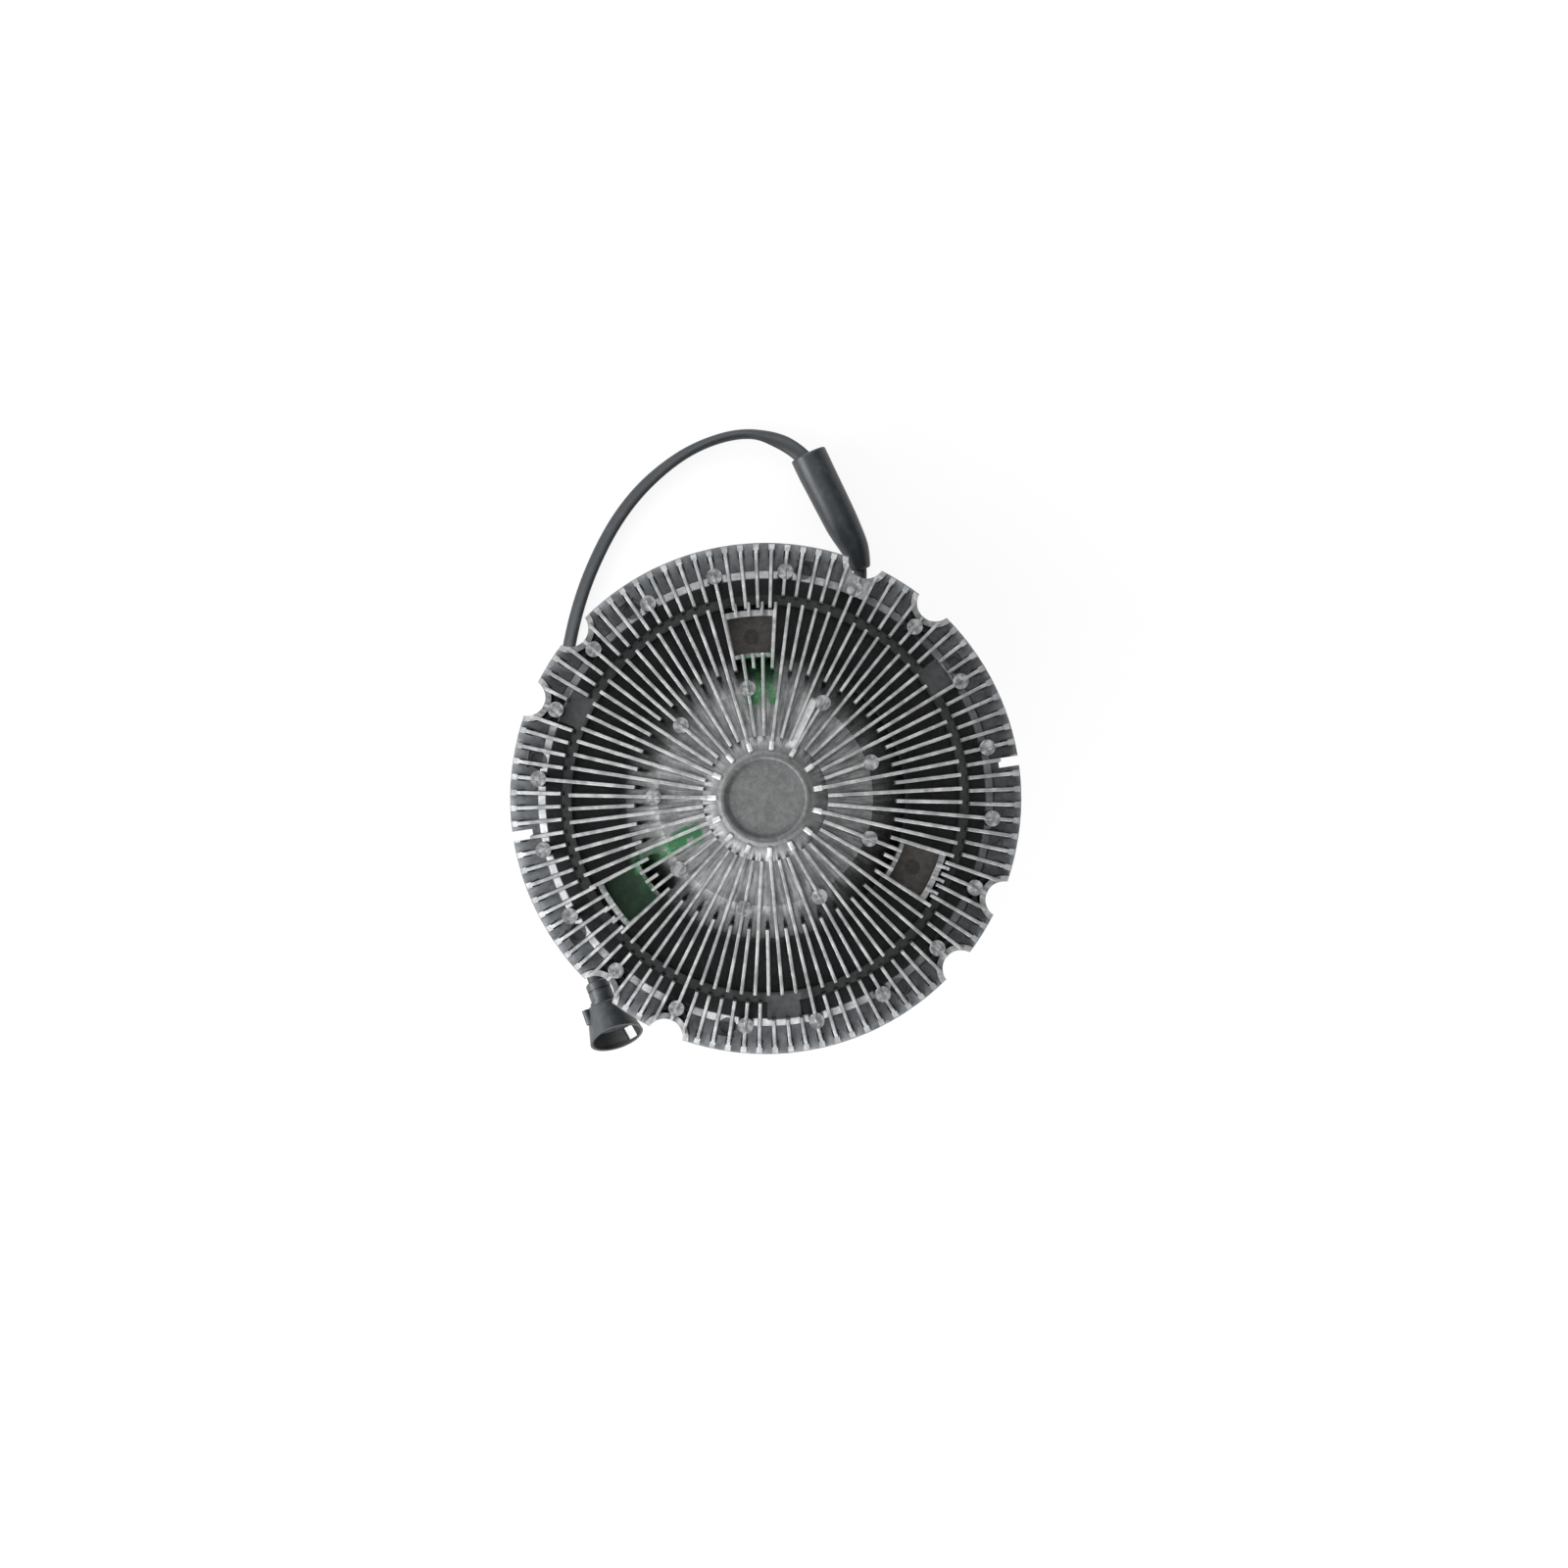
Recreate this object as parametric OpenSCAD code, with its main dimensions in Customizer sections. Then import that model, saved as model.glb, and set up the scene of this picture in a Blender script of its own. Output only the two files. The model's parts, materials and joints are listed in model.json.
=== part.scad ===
// Viscous fan clutch with a rear electromagnet, in millimetres.
// The clutch axis is +Z, the finned front faces up and the drive flange's rear face is the plane z = 0.

/* [Drive shaft] */
// Radius of the drive flange
flange_r = 68; // [66:0.5:72]
// Thickness of the drive flange
flange_t = 10; // [8:0.5:14]
// Radius of the centring bore in the flange's rear face
pilot_r = 20; // [16:0.5:24]
// Depth of the centring bore
pilot_depth = 8; // [4:0.5:12]
// Radius of the circle of flange holes
flange_hole_pcr = 57; // [55:0.5:60]
// Radius of a flange hole
flange_hole_r = 5.25; // [4:0.25:6]
// Number of flange holes
flange_holes = 6; // [4:1:8]
// Radius of the neck behind the magnet bearing
neck_r = 22; // [21:0.25:24]
// Length of the neck
neck_len = 7; // [6:0.5:10]
// Radius of the bearing seats
shaft_r = 17.5; // [16:0.25:18]
// Radius of the rotor's seat
rotor_seat_r = 15; // [12:0.5:15.5]
// Radius of the thread at the shaft's end
thread_r = 10; // [8:0.5:11]
// Edge chamfer of turned steel pieces
steel_chamfer = 1; // [0.5:0.1:1.5]

/* [Bearings] */
// Width of the magnet bearing
mag_w = 14; // [13:0.5:17]
// Outer radius of the magnet bearing
mag_r = 31; // [30.5:0.25:32]
// Radius of a magnet bearing ball
mag_ball_r = 4.3; // [4:0.05:4.5]
// Number of magnet bearing balls
mag_balls = 9; // [7:1:10]
// Length of the spacer between the bearings
spacer_len = 16; // [15:0.5:20]
// Width of the main bearing
main_w = 27; // [26:0.5:32]
// Outer radius of the main bearing
main_r = 36; // [35:0.25:37]
// Radius of a main bearing ball
main_ball_r = 5.2; // [4.8:0.05:5.4]
// Number of main bearing balls in one row
main_balls = 12; // [9:1:13]
// Thickness of an inner race of the main bearing
main_inner_t = 5; // [4.5:0.1:5.5]
// Thickness of an outer race of the main bearing
main_outer_t = 5; // [4.5:0.1:5.5]
// Thickness of each race of the magnet bearing
mag_race_t = 3.7; // [3.4:0.1:4]
// Thickness of a bearing seal
seal_t = 1; // [0.6:0.1:1.2]
// Thickness of the main bearing's snap ring
snap_t = 1.5; // [1.2:0.1:2]

/* [Rotor] */
// Thickness of the rotor's hub
rotor_hub_t = 10; // [9:0.5:13]
// Radius of the rotor's hub
rotor_hub_r = 25; // [23:0.5:28]
// Inner radius of the rotor's land ring
land_in_r = 66; // [62:0.5:69]
// Radius of the first groove in the land ring
groove_r = 72; // [71:0.5:74]
// Width of a groove
groove_w = 4; // [3:0.1:5]
// Depth of a groove
groove_depth = 4; // [3:0.1:4.5]
// Distance from groove to groove
groove_pitch = 8; // [7:0.1:8.5]
// Number of grooves on each side
grooves = 3; // [2:1:3]
// Height of the shaft nut
nut_t = 4.2; // [3.5:0.1:6]
// Width of the shaft nut across its flats
nut_flats = 30; // [26:0.5:34]
// Radius of a relief hole in the rotor's web
relief_r = 5; // [3:0.5:7]
// Number of relief holes
relief_holes = 6; // [3:1:10]

/* [Working chamber and reservoir] */
// Radius of the working chamber
chamber_r = 101; // [98:0.5:102]
// Height of the working chamber
chamber_h = 16; // [14.5:0.5:18]
// Height of the chamber's share in the front cover
cover_share = 8.5; // [7.5:0.5:9.5]
// Radius of the reservoir plate
plate_r = 61.5; // [60:0.5:63]
// Thickness of the reservoir plate
plate_t = 2; // [1.5:0.1:3]
// Radius of the reservoir
reservoir_r = 53; // [52:0.5:54]
// Height of the reservoir
reservoir_h = 11.5; // [11:0.5:14]
// Radius of a port in the reservoir plate
port_r = 4; // [2.5:0.25:5]
// Distance of the port from the axis
port_pos = 44; // [40:0.5:45]

/* [Valve] */
// Travel of the lever at the port
valve_lift = 2.4; // [1.8:0.1:2.6]
// Distance of the lever's pin from the axis
pin_pos = 22; // [20:0.5:26]
// Radius of the lever's pin
pin_r = 1.5; // [1.2:0.1:1.8]
// Height of the pin above the reservoir plate
pin_h = 4.6; // [4.4:0.1:5]
// Thickness of the lever
lever_t = 1.4; // [1:0.1:1.6]
// Width of the lever
lever_w = 10; // [8:0.5:12]
// Radius of the armature plate
armature_r = 13; // [10:0.5:14]
// Thickness of the armature plate
armature_t = 1.6; // [1.2:0.1:1.8]

/* [Housing] */
// Radius of the finned rim
rim_r = 132.5; // [131:0.5:140]
// Thickness of the front cover's rim flange
cover_flange_t = 6; // [4.5:0.5:8]
// Thickness of the rear housing's rim flange
rear_flange_t = 10; // [9:0.5:12]
// Wall of the front cover over the working chamber
cover_wall = 4.5; // [3.5:0.25:5.5]
// Wall of the front cover over the reservoir
dome_wall = 4; // [3:0.25:5]
// Wall of the rear housing behind the working chamber
rear_wall = 6; // [5:0.5:8]
// Outer radius of the rear housing's bearing hub
rear_hub_r = 50; // [49:0.25:51]
// Thickness of the lip behind the main bearing
lip_t = 4; // [3:0.25:5]
// Outer radius of the fan's seat behind the rim
fan_seat_r = 110; // [108:0.5:111]
// Height of the fan's seat behind the rim flange
fan_seat_h = 8; // [5:0.5:10]
// Number of rear fins
rear_fins = 48; // [36:1:60]
// Height of the rear fins
rear_fin_h = 11; // [6:0.5:12]
// Inner radius of the steel pole ring
pole_in_r = 41; // [40.5:0.25:42]
// Outer radius of the steel pole ring
pole_out_r = 47; // [45.5:0.25:47.5]
// Depth of the pole ring in the hub
pole_depth = 10; // [6:0.5:12]
// Outer radius of the tone ring
tone_r = 57; // [55:0.25:57.5]
// Height of the tone ring
tone_h = 5; // [4:0.25:6]
// Height of the tone ring above the hub's rear face
tone_lift = 2; // [1:0.25:4]
// Number of teeth on the tone ring
tone_teeth = 24; // [12:1:30]

/* [Front fins] */
// Number of outer fins
outer_fins = 100; // [100:10:100]
// Number of inner fins
inner_fins = 90; // [90:6:90]
// Thickness of a fin at its crest
fin_crest = 1.7; // [1.2:0.1:2]
// Draft of a fin's sides in degrees
fin_draft = 1.4; // [0.5:0.1:1.8]
// Bevel along a fin's crest
fin_bevel = 0.35; // [0.2:0.05:0.5]
// Height of the fins above the reservoir's bulge
fin_rise = 6.5; // [5:0.5:8]
// Fall of the inner fins' crest from the hub to the ring gap
inner_fall = 4; // [2:0.5:6]
// Fall of the outer fins' crest from the ring gap to the rim bevel
outer_fall = 3; // [1:0.5:5]
// Radius where the inner fins end
inner_end_r = 100.6; // [100:0.1:101.5]
// Radius where the outer fins begin
outer_start_r = 104.7; // [104:0.1:106]
// Radius where the short inner fins begin
short_start_r = 67; // [64:0.5:72]
// Radius where the long inner fins begin
long_start_r = 32; // [30.5:0.5:36]
// Radius where the fins that climb the hub begin
climb_start_r = 24.5; // [23.5:0.5:29]
// Thickness of the tip of a fin that climbs the hub
climb_crest = 2.6; // [2:0.1:3]
// Length of that tip
climb_tip = 5; // [3:0.5:6]
// Thickness of an outer fin's flared end at the rim
end_crest = 2.8; // [2:0.1:3.2]
// Length of the flared end
end_len = 4.8; // [3:0.1:6]
// Width of the broad rib beside an inner boss
rib_w = 4.5; // [3:0.25:5]
// Inward lean of the outer fins' ends up to the bevel
rim_draft = 2; // [0.5:0.1:3]
// Radial depth of the bevel at the fins' outer corners
rim_bevel = 4.5; // [3:0.5:6]

/* [Cover details] */
// Outer radius of the hub's crest
hub_crest_r = 22.3; // [21.5:0.1:25]
// Radius of the recessed disc in the hub
hub_disc_r = 18.4; // [15:0.1:20]
// Depth of the recessed disc
hub_disc_depth = 2.4; // [0.5:0.1:5]
// Width of the sloping wall round the disc
hub_wall_w = 2.8; // [1:0.1:3]
// Rise of the bulge from its shoulder to the hub
dome_rise = 2.6; // [1:0.1:3]
// Radial width of the bevelled step outside the deep floor
step_w = 4; // [3:0.1:4.5]
// Fall of the bevelled step
step_fall = 3.2; // [2:0.1:4.5]
// Distance from the outer fins' start to the bevelled step
step_start = 8.8; // [8:0.1:9.5]
// Radius of a rim notch
notch_r = 9.3; // [8:0.1:10]
// Wall round a rim notch
notch_wall = 3; // [2:0.1:4]
// Angle of a notch to either side of its lug
notch_half = 9; // [8.5:0.1:9.5]
// Angle of the first lug between two notches
lug_angle = 58; // [57:0.1:59]
// Width of a rim slot
slot_w = 5; // [4:0.1:6]
// Radius where a rim slot begins
slot_start_r = 122; // [120:0.5:126]
// Angle of the first rim slot
slot_angle = 8.6; // [8.2:0.1:8.8]
// Radius of a round boss on the fins
boss_r = 4; // [3.6:0.1:4.4]
// Radius of the circle of outer bosses
outer_boss_pcr = 116.5; // [116:0.1:117]
// Number of outer bosses
outer_bosses = 20; // [20:1:20]
// Radius of the circle of inner bosses
inner_boss_pcr = 57; // [56.6:0.1:57.4]
// Number of inner bosses
inner_bosses = 9; // [9:1:9]
// Radius of the circle of fan holes
fan_pcr = 119; // [118.5:0.25:121]
// Radius of a threaded fan hole
fan_hole_r = 3.4; // [2.8:0.1:4]
// Number of fan holes
fan_holes = 8; // [8:1:8]
// Inner radius of a pocket between the fins
pocket_in_r = 74.5; // [74:0.5:78]
// Outer radius of a pocket
pocket_out_r = 93.5; // [90:0.5:95]
// Height of a pocket's floor above the deep floor between the fins
pocket_floor_h = 4; // [2:0.5:8]
// Radius of the round mark on a pocket's floor
mark_r = 4; // [2:0.25:5]
// Distance of the round mark from the axis
mark_pos = 83.4; // [81:0.1:85]
// Depth of the round mark
mark_depth = 0.6; // [0.3:0.1:1]
// Height of the ring between the fin sets above the deep floor
gap_ring_h = 6; // [3:0.5:9]

/* [Fasteners and seal] */
// Radius of a cover screw's shank
screw_r = 2.5; // [2:0.1:2.6]
// Radius of a cover screw's head
screw_head_r = 4.2; // [3.8:0.1:4.3]
// Height of a cover screw's head
screw_head_h = 4.5; // [3.5:0.1:5]
// Length of a cover screw's thread in the cover
screw_grip = 14; // [8:0.5:18]
// Radius of a plate screw's shank
plate_screw_r = 1.5; // [1.2:0.1:1.8]
// Radius of a plate screw's head
plate_head_r = 2.8; // [2.4:0.1:3.2]
// Radius of the cover seal's section
seal_r = 1.2; // [0.9:0.05:1.4]
// Radius of the cover seal's centre line
seal_pcr = 107.5; // [106:0.25:109]

/* [Magnet] */
// Outer radius of the magnet's yoke
yoke_r = 48; // [47:0.25:48.5]
// Thickness of the yoke's walls
yoke_wall = 3.5; // [3:0.1:4]
// Air gap between the yoke and the rear housing
air_gap = 1; // [0.6:0.1:1.6]
// Thickness of the coil bobbin's walls
bobbin_wall = 1.2; // [0.8:0.1:1.6]
// Angle of the cable's outlet
outlet_angle = 64; // [60:0.5:68]
// Outer radius reached by the terminal block
block_r = 62; // [61.8:0.1:64]
// Width of the terminal block
block_w = 24; // [18:0.5:28]
// Length of the strain relief
relief_len = 20; // [16:0.5:24]
// Radius of the strain relief at its root
relief_root_r = 7.5; // [6.5:0.25:9]
// Width of the speed sensor
sensor_w = 10; // [6:0.5:14]
// Length of the speed sensor along the radius
sensor_len = 3.6; // [3:0.1:6]
// Gap between the speed sensor and the tone ring
sensor_gap = 1.2; // [0.8:0.1:2]

/* [Cable and connector] */
// Diameter of the round lead between the magnet and the sleeve
cable_d = 7.2; // [6:0.1:7.3]
// Width of the flat cable between the sleeve and the connector
flat_w = 8.8; // [7:0.1:9]
// Thickness of the flat cable
flat_t = 5.4; // [4:0.1:5.6]
// Radius of the sleeve's wide end
sleeve_r = 10; // [9:0.1:10.5]
// Radius of the sleeve's narrow end
sleeve_end_r = 5.8; // [5.2:0.1:6.5]
// Radius of the connector's barrel
barrel_r = 6.5; // [6:0.1:7]
// Length of the connector's barrel
barrel_len = 18; // [17:0.5:20]
// Outer radius of the coupling ring's mouth
mouth_r = 15; // [14:0.25:16]
// Length of the coupling ring's flare
flare_len = 18; // [16:0.5:22]
// Length of the straight rim at the coupling ring's mouth
rim_band = 3; // [2:0.5:4]
// Setback of the coupling ring's mouth at its top
mouth_set = 7; // [0.5:0.5:8]
// Radius of the coupling ring's side lug
side_lug_r = 2; // [1.5:0.1:2]
// Length of the side lug
side_lug_len = 8; // [6:0.5:9]
// Width of the window in the coupling ring's lower side
window_w = 7; // [6:0.5:11]
// Length of the window
window_len = 7; // [5:0.5:8]
// Distance of the window from the coupling ring's mouth
window_edge = 2; // [1.5:0.1:6]
// Radius of the connector's insulator
insulator_r = 8.5; // [8.2:0.1:8.8]
// Length of the connector's insulator
insulator_len = 9; // [7:0.5:11]
// Number of contact pins
contact_pins = 4; // [2:1:6]
// Radius of a contact pin
contact_r = 1; // [0.6:0.1:1.2]

/* [Clearances] */
// Radial gap of nested pieces
fit = 0.03; // [0.02:0.01:0.08]
// Gap between moving pieces
run_gap = 0.5; // [0.3:0.05:0.8]
// Gap round a bearing ball
ball_gap = 0.1; // [0.05:0.01:0.15]
// Gap beside the rotor and its ridges
rotor_gap = 1.2; // [0.8:0.05:1.4]

/* [Hidden] */
$fn = 72;

// heights along the axis
mag_z0 = flange_t + neck_len;
mag_z1 = mag_z0 + mag_w;
main_z0 = mag_z1 + spacer_len;
main_z1 = main_z0 + main_w;
hub_z1 = main_z1 + rotor_hub_t;
nut_z1 = hub_z1 + nut_t;
plate_z0 = nut_z1 + rotor_gap;
plate_z1 = plate_z0 + plate_t;
chamber_z1 = plate_z0 - 0.5;
chamber_z0 = chamber_z1 - chamber_h;
joint_z = chamber_z1 - cover_share;
deep_z = chamber_z1 + cover_wall;
reservoir_z1 = plate_z1 + reservoir_h;
dome_z = reservoir_z1 + dome_wall;
cover_flange_z = joint_z + cover_flange_t;
rear_flange_z = joint_z - rear_flange_t;
web_z = chamber_z0 - rear_wall;
rear_hub_z = main_z0 - lip_t;
yoke_z1 = rear_hub_z - air_gap;
nose_z = main_z1 + snap_t + 2.2;
tone_z = rear_hub_z + tone_lift;
crest_hub_z = dome_z + fin_rise;
crest_mid_z = crest_hub_z - inner_fall;
crest_out_z = crest_mid_z - outer_fall;
hub_crest_z = crest_hub_z + 1;
land_z0 = chamber_z0 + rotor_gap;
land_z1 = chamber_z1 - rotor_gap;
outlet_z = (mag_z0 - 1 + yoke_z1) / 2 - 2;
block_z1 = outlet_z + 10;

// radii
race_in_r = shaft_r + main_inner_t;
race_out_r = main_r - main_outer_t;
main_pitch_r = (race_in_r + race_out_r) / 2;
mag_race_in_r = shaft_r + mag_race_t;
mag_race_out_r = mag_r - mag_race_t;
mag_pitch_r = (mag_race_in_r + mag_race_out_r) / 2;
land_out_r = chamber_r - 1;
ridge_w = groove_w - 2 * rotor_gap;
cable_r = cable_d / 2;
step_r = outer_start_r + step_start;
shoulder_r = reservoir_r + dome_wall / 2;
hub_edge_r = max(hub_crest_r, hub_disc_r + hub_wall_w + 0.6);
bulge_foot_r = short_start_r + 5;
block_out_r = max(block_r, tone_r + sensor_gap + sensor_len + 0.2);
row_z = [main_z0 + 7.5, main_z1 - 7.5];
mag_mid_z = (mag_z0 + mag_z1) / 2;

// fin pattern
fin_angle = 31;
outer_pitch = 360 / outer_fins;
inner_pitch = 360 / inner_fins;
inner_slope = inner_fall / (inner_end_r - long_start_r);
outer_slope = outer_fall / (rim_r - rim_bevel - outer_start_r);
first_boss = 13;
side_lug_angle = 245;
window_angle = 35;
rib_angle = 63.7;
boss_angles = [for (k = [0:outer_bosses - 1]) first_boss + 360 / outer_bosses * k];
plate_angles = [for (k = [0:inner_bosses - 1]) 19 + 360 / inner_bosses * k];
pocket_angles = [95, 215, 335];
pad_angles = [35, 155, 275];
fan_angles = [for (k = [0:fan_holes - 1]) 35.5 + 360 / fan_holes * k];
notch_angles = [for (k = [0:3], s = [-1, 1]) lug_angle + 90 * k + s * notch_half];
slot_angles = [slot_angle, slot_angle + 180];

// cable route over the floor, from the strain relief through the sleeve to the connector
lead_route = [[43.5, 90, 25.2], [46, 95.5, 22.3], [48.2, 101.5, 16.6], [49.8, 107.7, 10.7], [50.8, 114, 7.4]];
// each sleeve point is x, y and its share of the widening
sleeve_route = [[51, 125, 0], [48, 136, 0.45], [42, 147.5, 0.8], [37, 157.5, 0.9], [32, 167.5, 0.95],
    [27, 177.5, 1], [22.5, 187, 1]];
// each loop point is x, y, z and the turn of the flat cable in degrees
loop_route = [[24.5, 178, 9, 0], [19.5, 186, 8, 0], [8, 194, 6, 20], [-8, 198.5, 4.6, 75], [-26, 196, 4.6, 80],
    [-46, 187, 4.4, 65], [-66, 171, 4, 50], [-82, 151, 3.9, 45], [-95, 126, 3.9, 45], [-104, 100, 3.9, 45],
    [-110, 70, 3.9, 45], [-114, 35, 3.9, 45], [-115, 0, 3.9, 45], [-113, -35, 3.8, 40], [-107, -65, 3.6, 30],
    [-100, -84, 4.2, 15]];
plug_start = [-92.7, -100.5];
plug_heading = -69;
plug_end_s = barrel_len + flare_len;
plug_tilt = atan((mouth_r - barrel_r) / (plug_end_s - rim_band));
plug_base = [plug_start[0], plug_start[1], barrel_r * cos(plug_tilt) + 0.1];
plug_dir = [cos(plug_tilt) * cos(plug_heading), cos(plug_tilt) * sin(plug_heading), sin(plug_tilt)];

// small helpers
function polar(r, a, z) = [r * cos(a), r * sin(a), z];
function unit(v) = v / norm(v);
function apart(a, b) = abs((a - b + 540) % 360 - 180);
function near(a, list, limit) = len([for (b = list) if (apart(a, b) < limit) 1]) > 0;
function crest_in(r) = crest_hub_z - (r - long_start_r) * inner_slope;
function crest_out(r) = crest_mid_z - (r - outer_start_r) * outer_slope;
function along(p, i) = unit(p[min(i + 1, len(p) - 1)] - p[max(i - 1, 0)]);
function bend(a, b, c, d, t) =
    0.5 * (2 * b + t * (c - a) + t * t * (2 * a - 5 * b + 4 * c - d) + t * t * t * (3 * b - a - 3 * c + d));
function smooth(p, n) = [for (i = [0:len(p) - 2], k = [0:n - 1])
    bend(p[max(i - 1, 0)], p[i], p[i + 1], p[min(i + 2, len(p) - 1)], k / n), p[len(p) - 1]];
function side_of(d) = unit(cross([0, 0, 1], d));
function turned(d, a) = cos(a) * side_of(d) + sin(a) * cross(d, side_of(d));
function hoop(p, d, size, n) = [for (k = [0:n - 1])
    p + size[0] * cos(360 * k / n) * turned(d, size[2]) + size[1] * sin(360 * k / n) * turned(d, size[2] + 90)];
function round_of(r) = [r, r, 0];

module tube(r_in, r_out, z0, z1) {
    rotate_extrude()
        translate([r_in, z0])
            square([r_out - r_in, z1 - z0]);
}

module spread(angles, r, z) {
    for (a = angles)
        translate(polar(r, a, z))
            rotate([0, 0, a])
                children();
}

// closed skin through stations, each a point, a heading and a section of half width, half thickness and turn
module skin(stations, n) {
    rings = len(stations);
    points = [for (s = stations) each hoop(s[0], s[1], s[2], n)];
    walls = [for (i = [0:rings - 2], k = [0:n - 1]) each
        [[i * n + k, (i + 1) * n + k, (i + 1) * n + (k + 1) % n],
        [i * n + k, (i + 1) * n + (k + 1) % n, i * n + (k + 1) % n]]];
    first = [[for (k = [0:n - 1]) k]];
    last = [[for (k = [n - 1:-1:0]) (rings - 1) * n + k]];
    polyhedron(points, concat(first, walls, last), convexity = 6);
}

module on_plug() {
    translate(plug_base)
        rotate([0, 90 - plug_tilt, plug_heading])
            children();
}

// one cooling fin, its crest falling outwards from (r0, z0) to (r1, z1)
module fin(a, r0, r1, z0, z1, h, crest) {
    fall = atan((z0 - z1) / (r1 - r0));
    half = crest / 2;
    foot = half + h * tan(fin_draft);
    rotate([0, 0, a])
        translate([r0, 0, z0])
            rotate([0, fall, 0])
                rotate([90, 0, 90])
                    linear_extrude((r1 - r0) / cos(fall))
                        polygon([[-foot, -h], [foot, -h], [half, -fin_bevel], [half - fin_bevel, 0],
                            [fin_bevel - half, 0], [-half, -fin_bevel]]);
}

module inner_fin(k) {
    a = fin_angle + inner_pitch * k;
    start = k % 2 == 0 ? short_start_r : k % 6 == 1 ? climb_start_r : long_start_r;
    fin(a, start, inner_end_r, crest_in(start), crest_in(inner_end_r), crest_hub_z - deep_z + 1, fin_crest);
    if (start == climb_start_r)
        fin(a, start, start + climb_tip, crest_in(start) - 0.2, crest_in(start + climb_tip) - 0.2, fin_rise,
            climb_crest);
}

module outer_fin(k) {
    a = first_boss + outer_pitch * k;
    start = k % 10 == 5 || near(a, pocket_angles, 8.5) ? inner_end_r - 3
        : near(a, pad_angles, 4.6) ? step_r : outer_start_r;
    stop = rim_r + 1;
    flare = rim_r - end_len;
    fin(a, start, stop, crest_out(start), crest_out(stop), crest_mid_z - cover_flange_z - 1, fin_crest);
    fin(a, flare, stop, crest_out(flare) - 0.2, crest_out(stop) - 0.2, crest_mid_z - cover_flange_z - 1, end_crest);
}

// outside of the front cover without its fins
module cover_dish() {
    rotate_extrude()
        polygon([[0, joint_z], [rim_r, joint_z], [rim_r, cover_flange_z], [step_r + step_w + 1, cover_flange_z],
            [step_r + step_w, deep_z - step_fall], [step_r, deep_z], [outer_start_r, deep_z],
            [outer_start_r, deep_z + gap_ring_h], [inner_end_r - 1, deep_z + gap_ring_h],
            [inner_end_r - 1, deep_z], [bulge_foot_r, deep_z], [shoulder_r, dome_z],
            [long_start_r, dome_z + dome_rise], [hub_edge_r, hub_crest_z],
            [hub_disc_r + hub_wall_w, hub_crest_z], [hub_disc_r, hub_crest_z - hub_disc_depth],
            [0, hub_crest_z - hub_disc_depth]]);
}

// space inside the front cover: chamber with ridges, plate seat and reservoir
module cover_inside() {
    ridge_z = land_z1 - groove_depth + rotor_gap;
    rotate_extrude()
        polygon(concat([[0, joint_z - 1], [chamber_r, joint_z - 1], [chamber_r, chamber_z1]],
            [for (i = [grooves - 1:-1:0]) let (r = groove_r + groove_pitch * i + rotor_gap) each
                [[r + ridge_w, chamber_z1], [r + ridge_w, ridge_z], [r, ridge_z], [r, chamber_z1]]],
            [[plate_r + fit, chamber_z1], [plate_r + fit, plate_z1], [reservoir_r, plate_z1],
                [reservoir_r, reservoir_z1], [0, reservoir_z1]]));
}

// outline that the outer fins, bosses and notch walls stay inside
module rim_envelope() {
    rotate_extrude()
        polygon([[inner_end_r - 8, joint_z], [rim_r, joint_z], [rim_r, cover_flange_z - 1],
            [rim_r - rim_draft, crest_out_z - rim_bevel], [rim_r - rim_draft - rim_bevel - 5, crest_out_z + 5],
            [inner_end_r - 8, crest_mid_z + 5]]);
}

// notches and slots that pass through both halves at the rim
module rim_cuts() {
    spread(notch_angles, rim_r, rear_flange_z - 20)
        cylinder(h = crest_mid_z - rear_flange_z + 40, r = notch_r);
    spread(slot_angles, slot_start_r, rear_flange_z - 20)
        translate([0, -slot_w / 2, 0])
            cube([rim_r, slot_w, crest_mid_z - rear_flange_z + 40]);
}

module pocket_block(a) {
    rotate([0, 0, a - 2.1 * inner_pitch])
        rotate_extrude(angle = 4.2 * inner_pitch)
            translate([pocket_in_r - 2, deep_z - 2])
                square([pocket_out_r - pocket_in_r + 5, crest_in(pocket_out_r) - deep_z + 1]);
}

module pocket_hollow(a) {
    rotate([0, 0, a - 1.8 * inner_pitch])
        rotate_extrude(angle = 3.6 * inner_pitch)
            translate([pocket_in_r, deep_z + pocket_floor_h])
                square([pocket_out_r - pocket_in_r, 40]);
}

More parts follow.
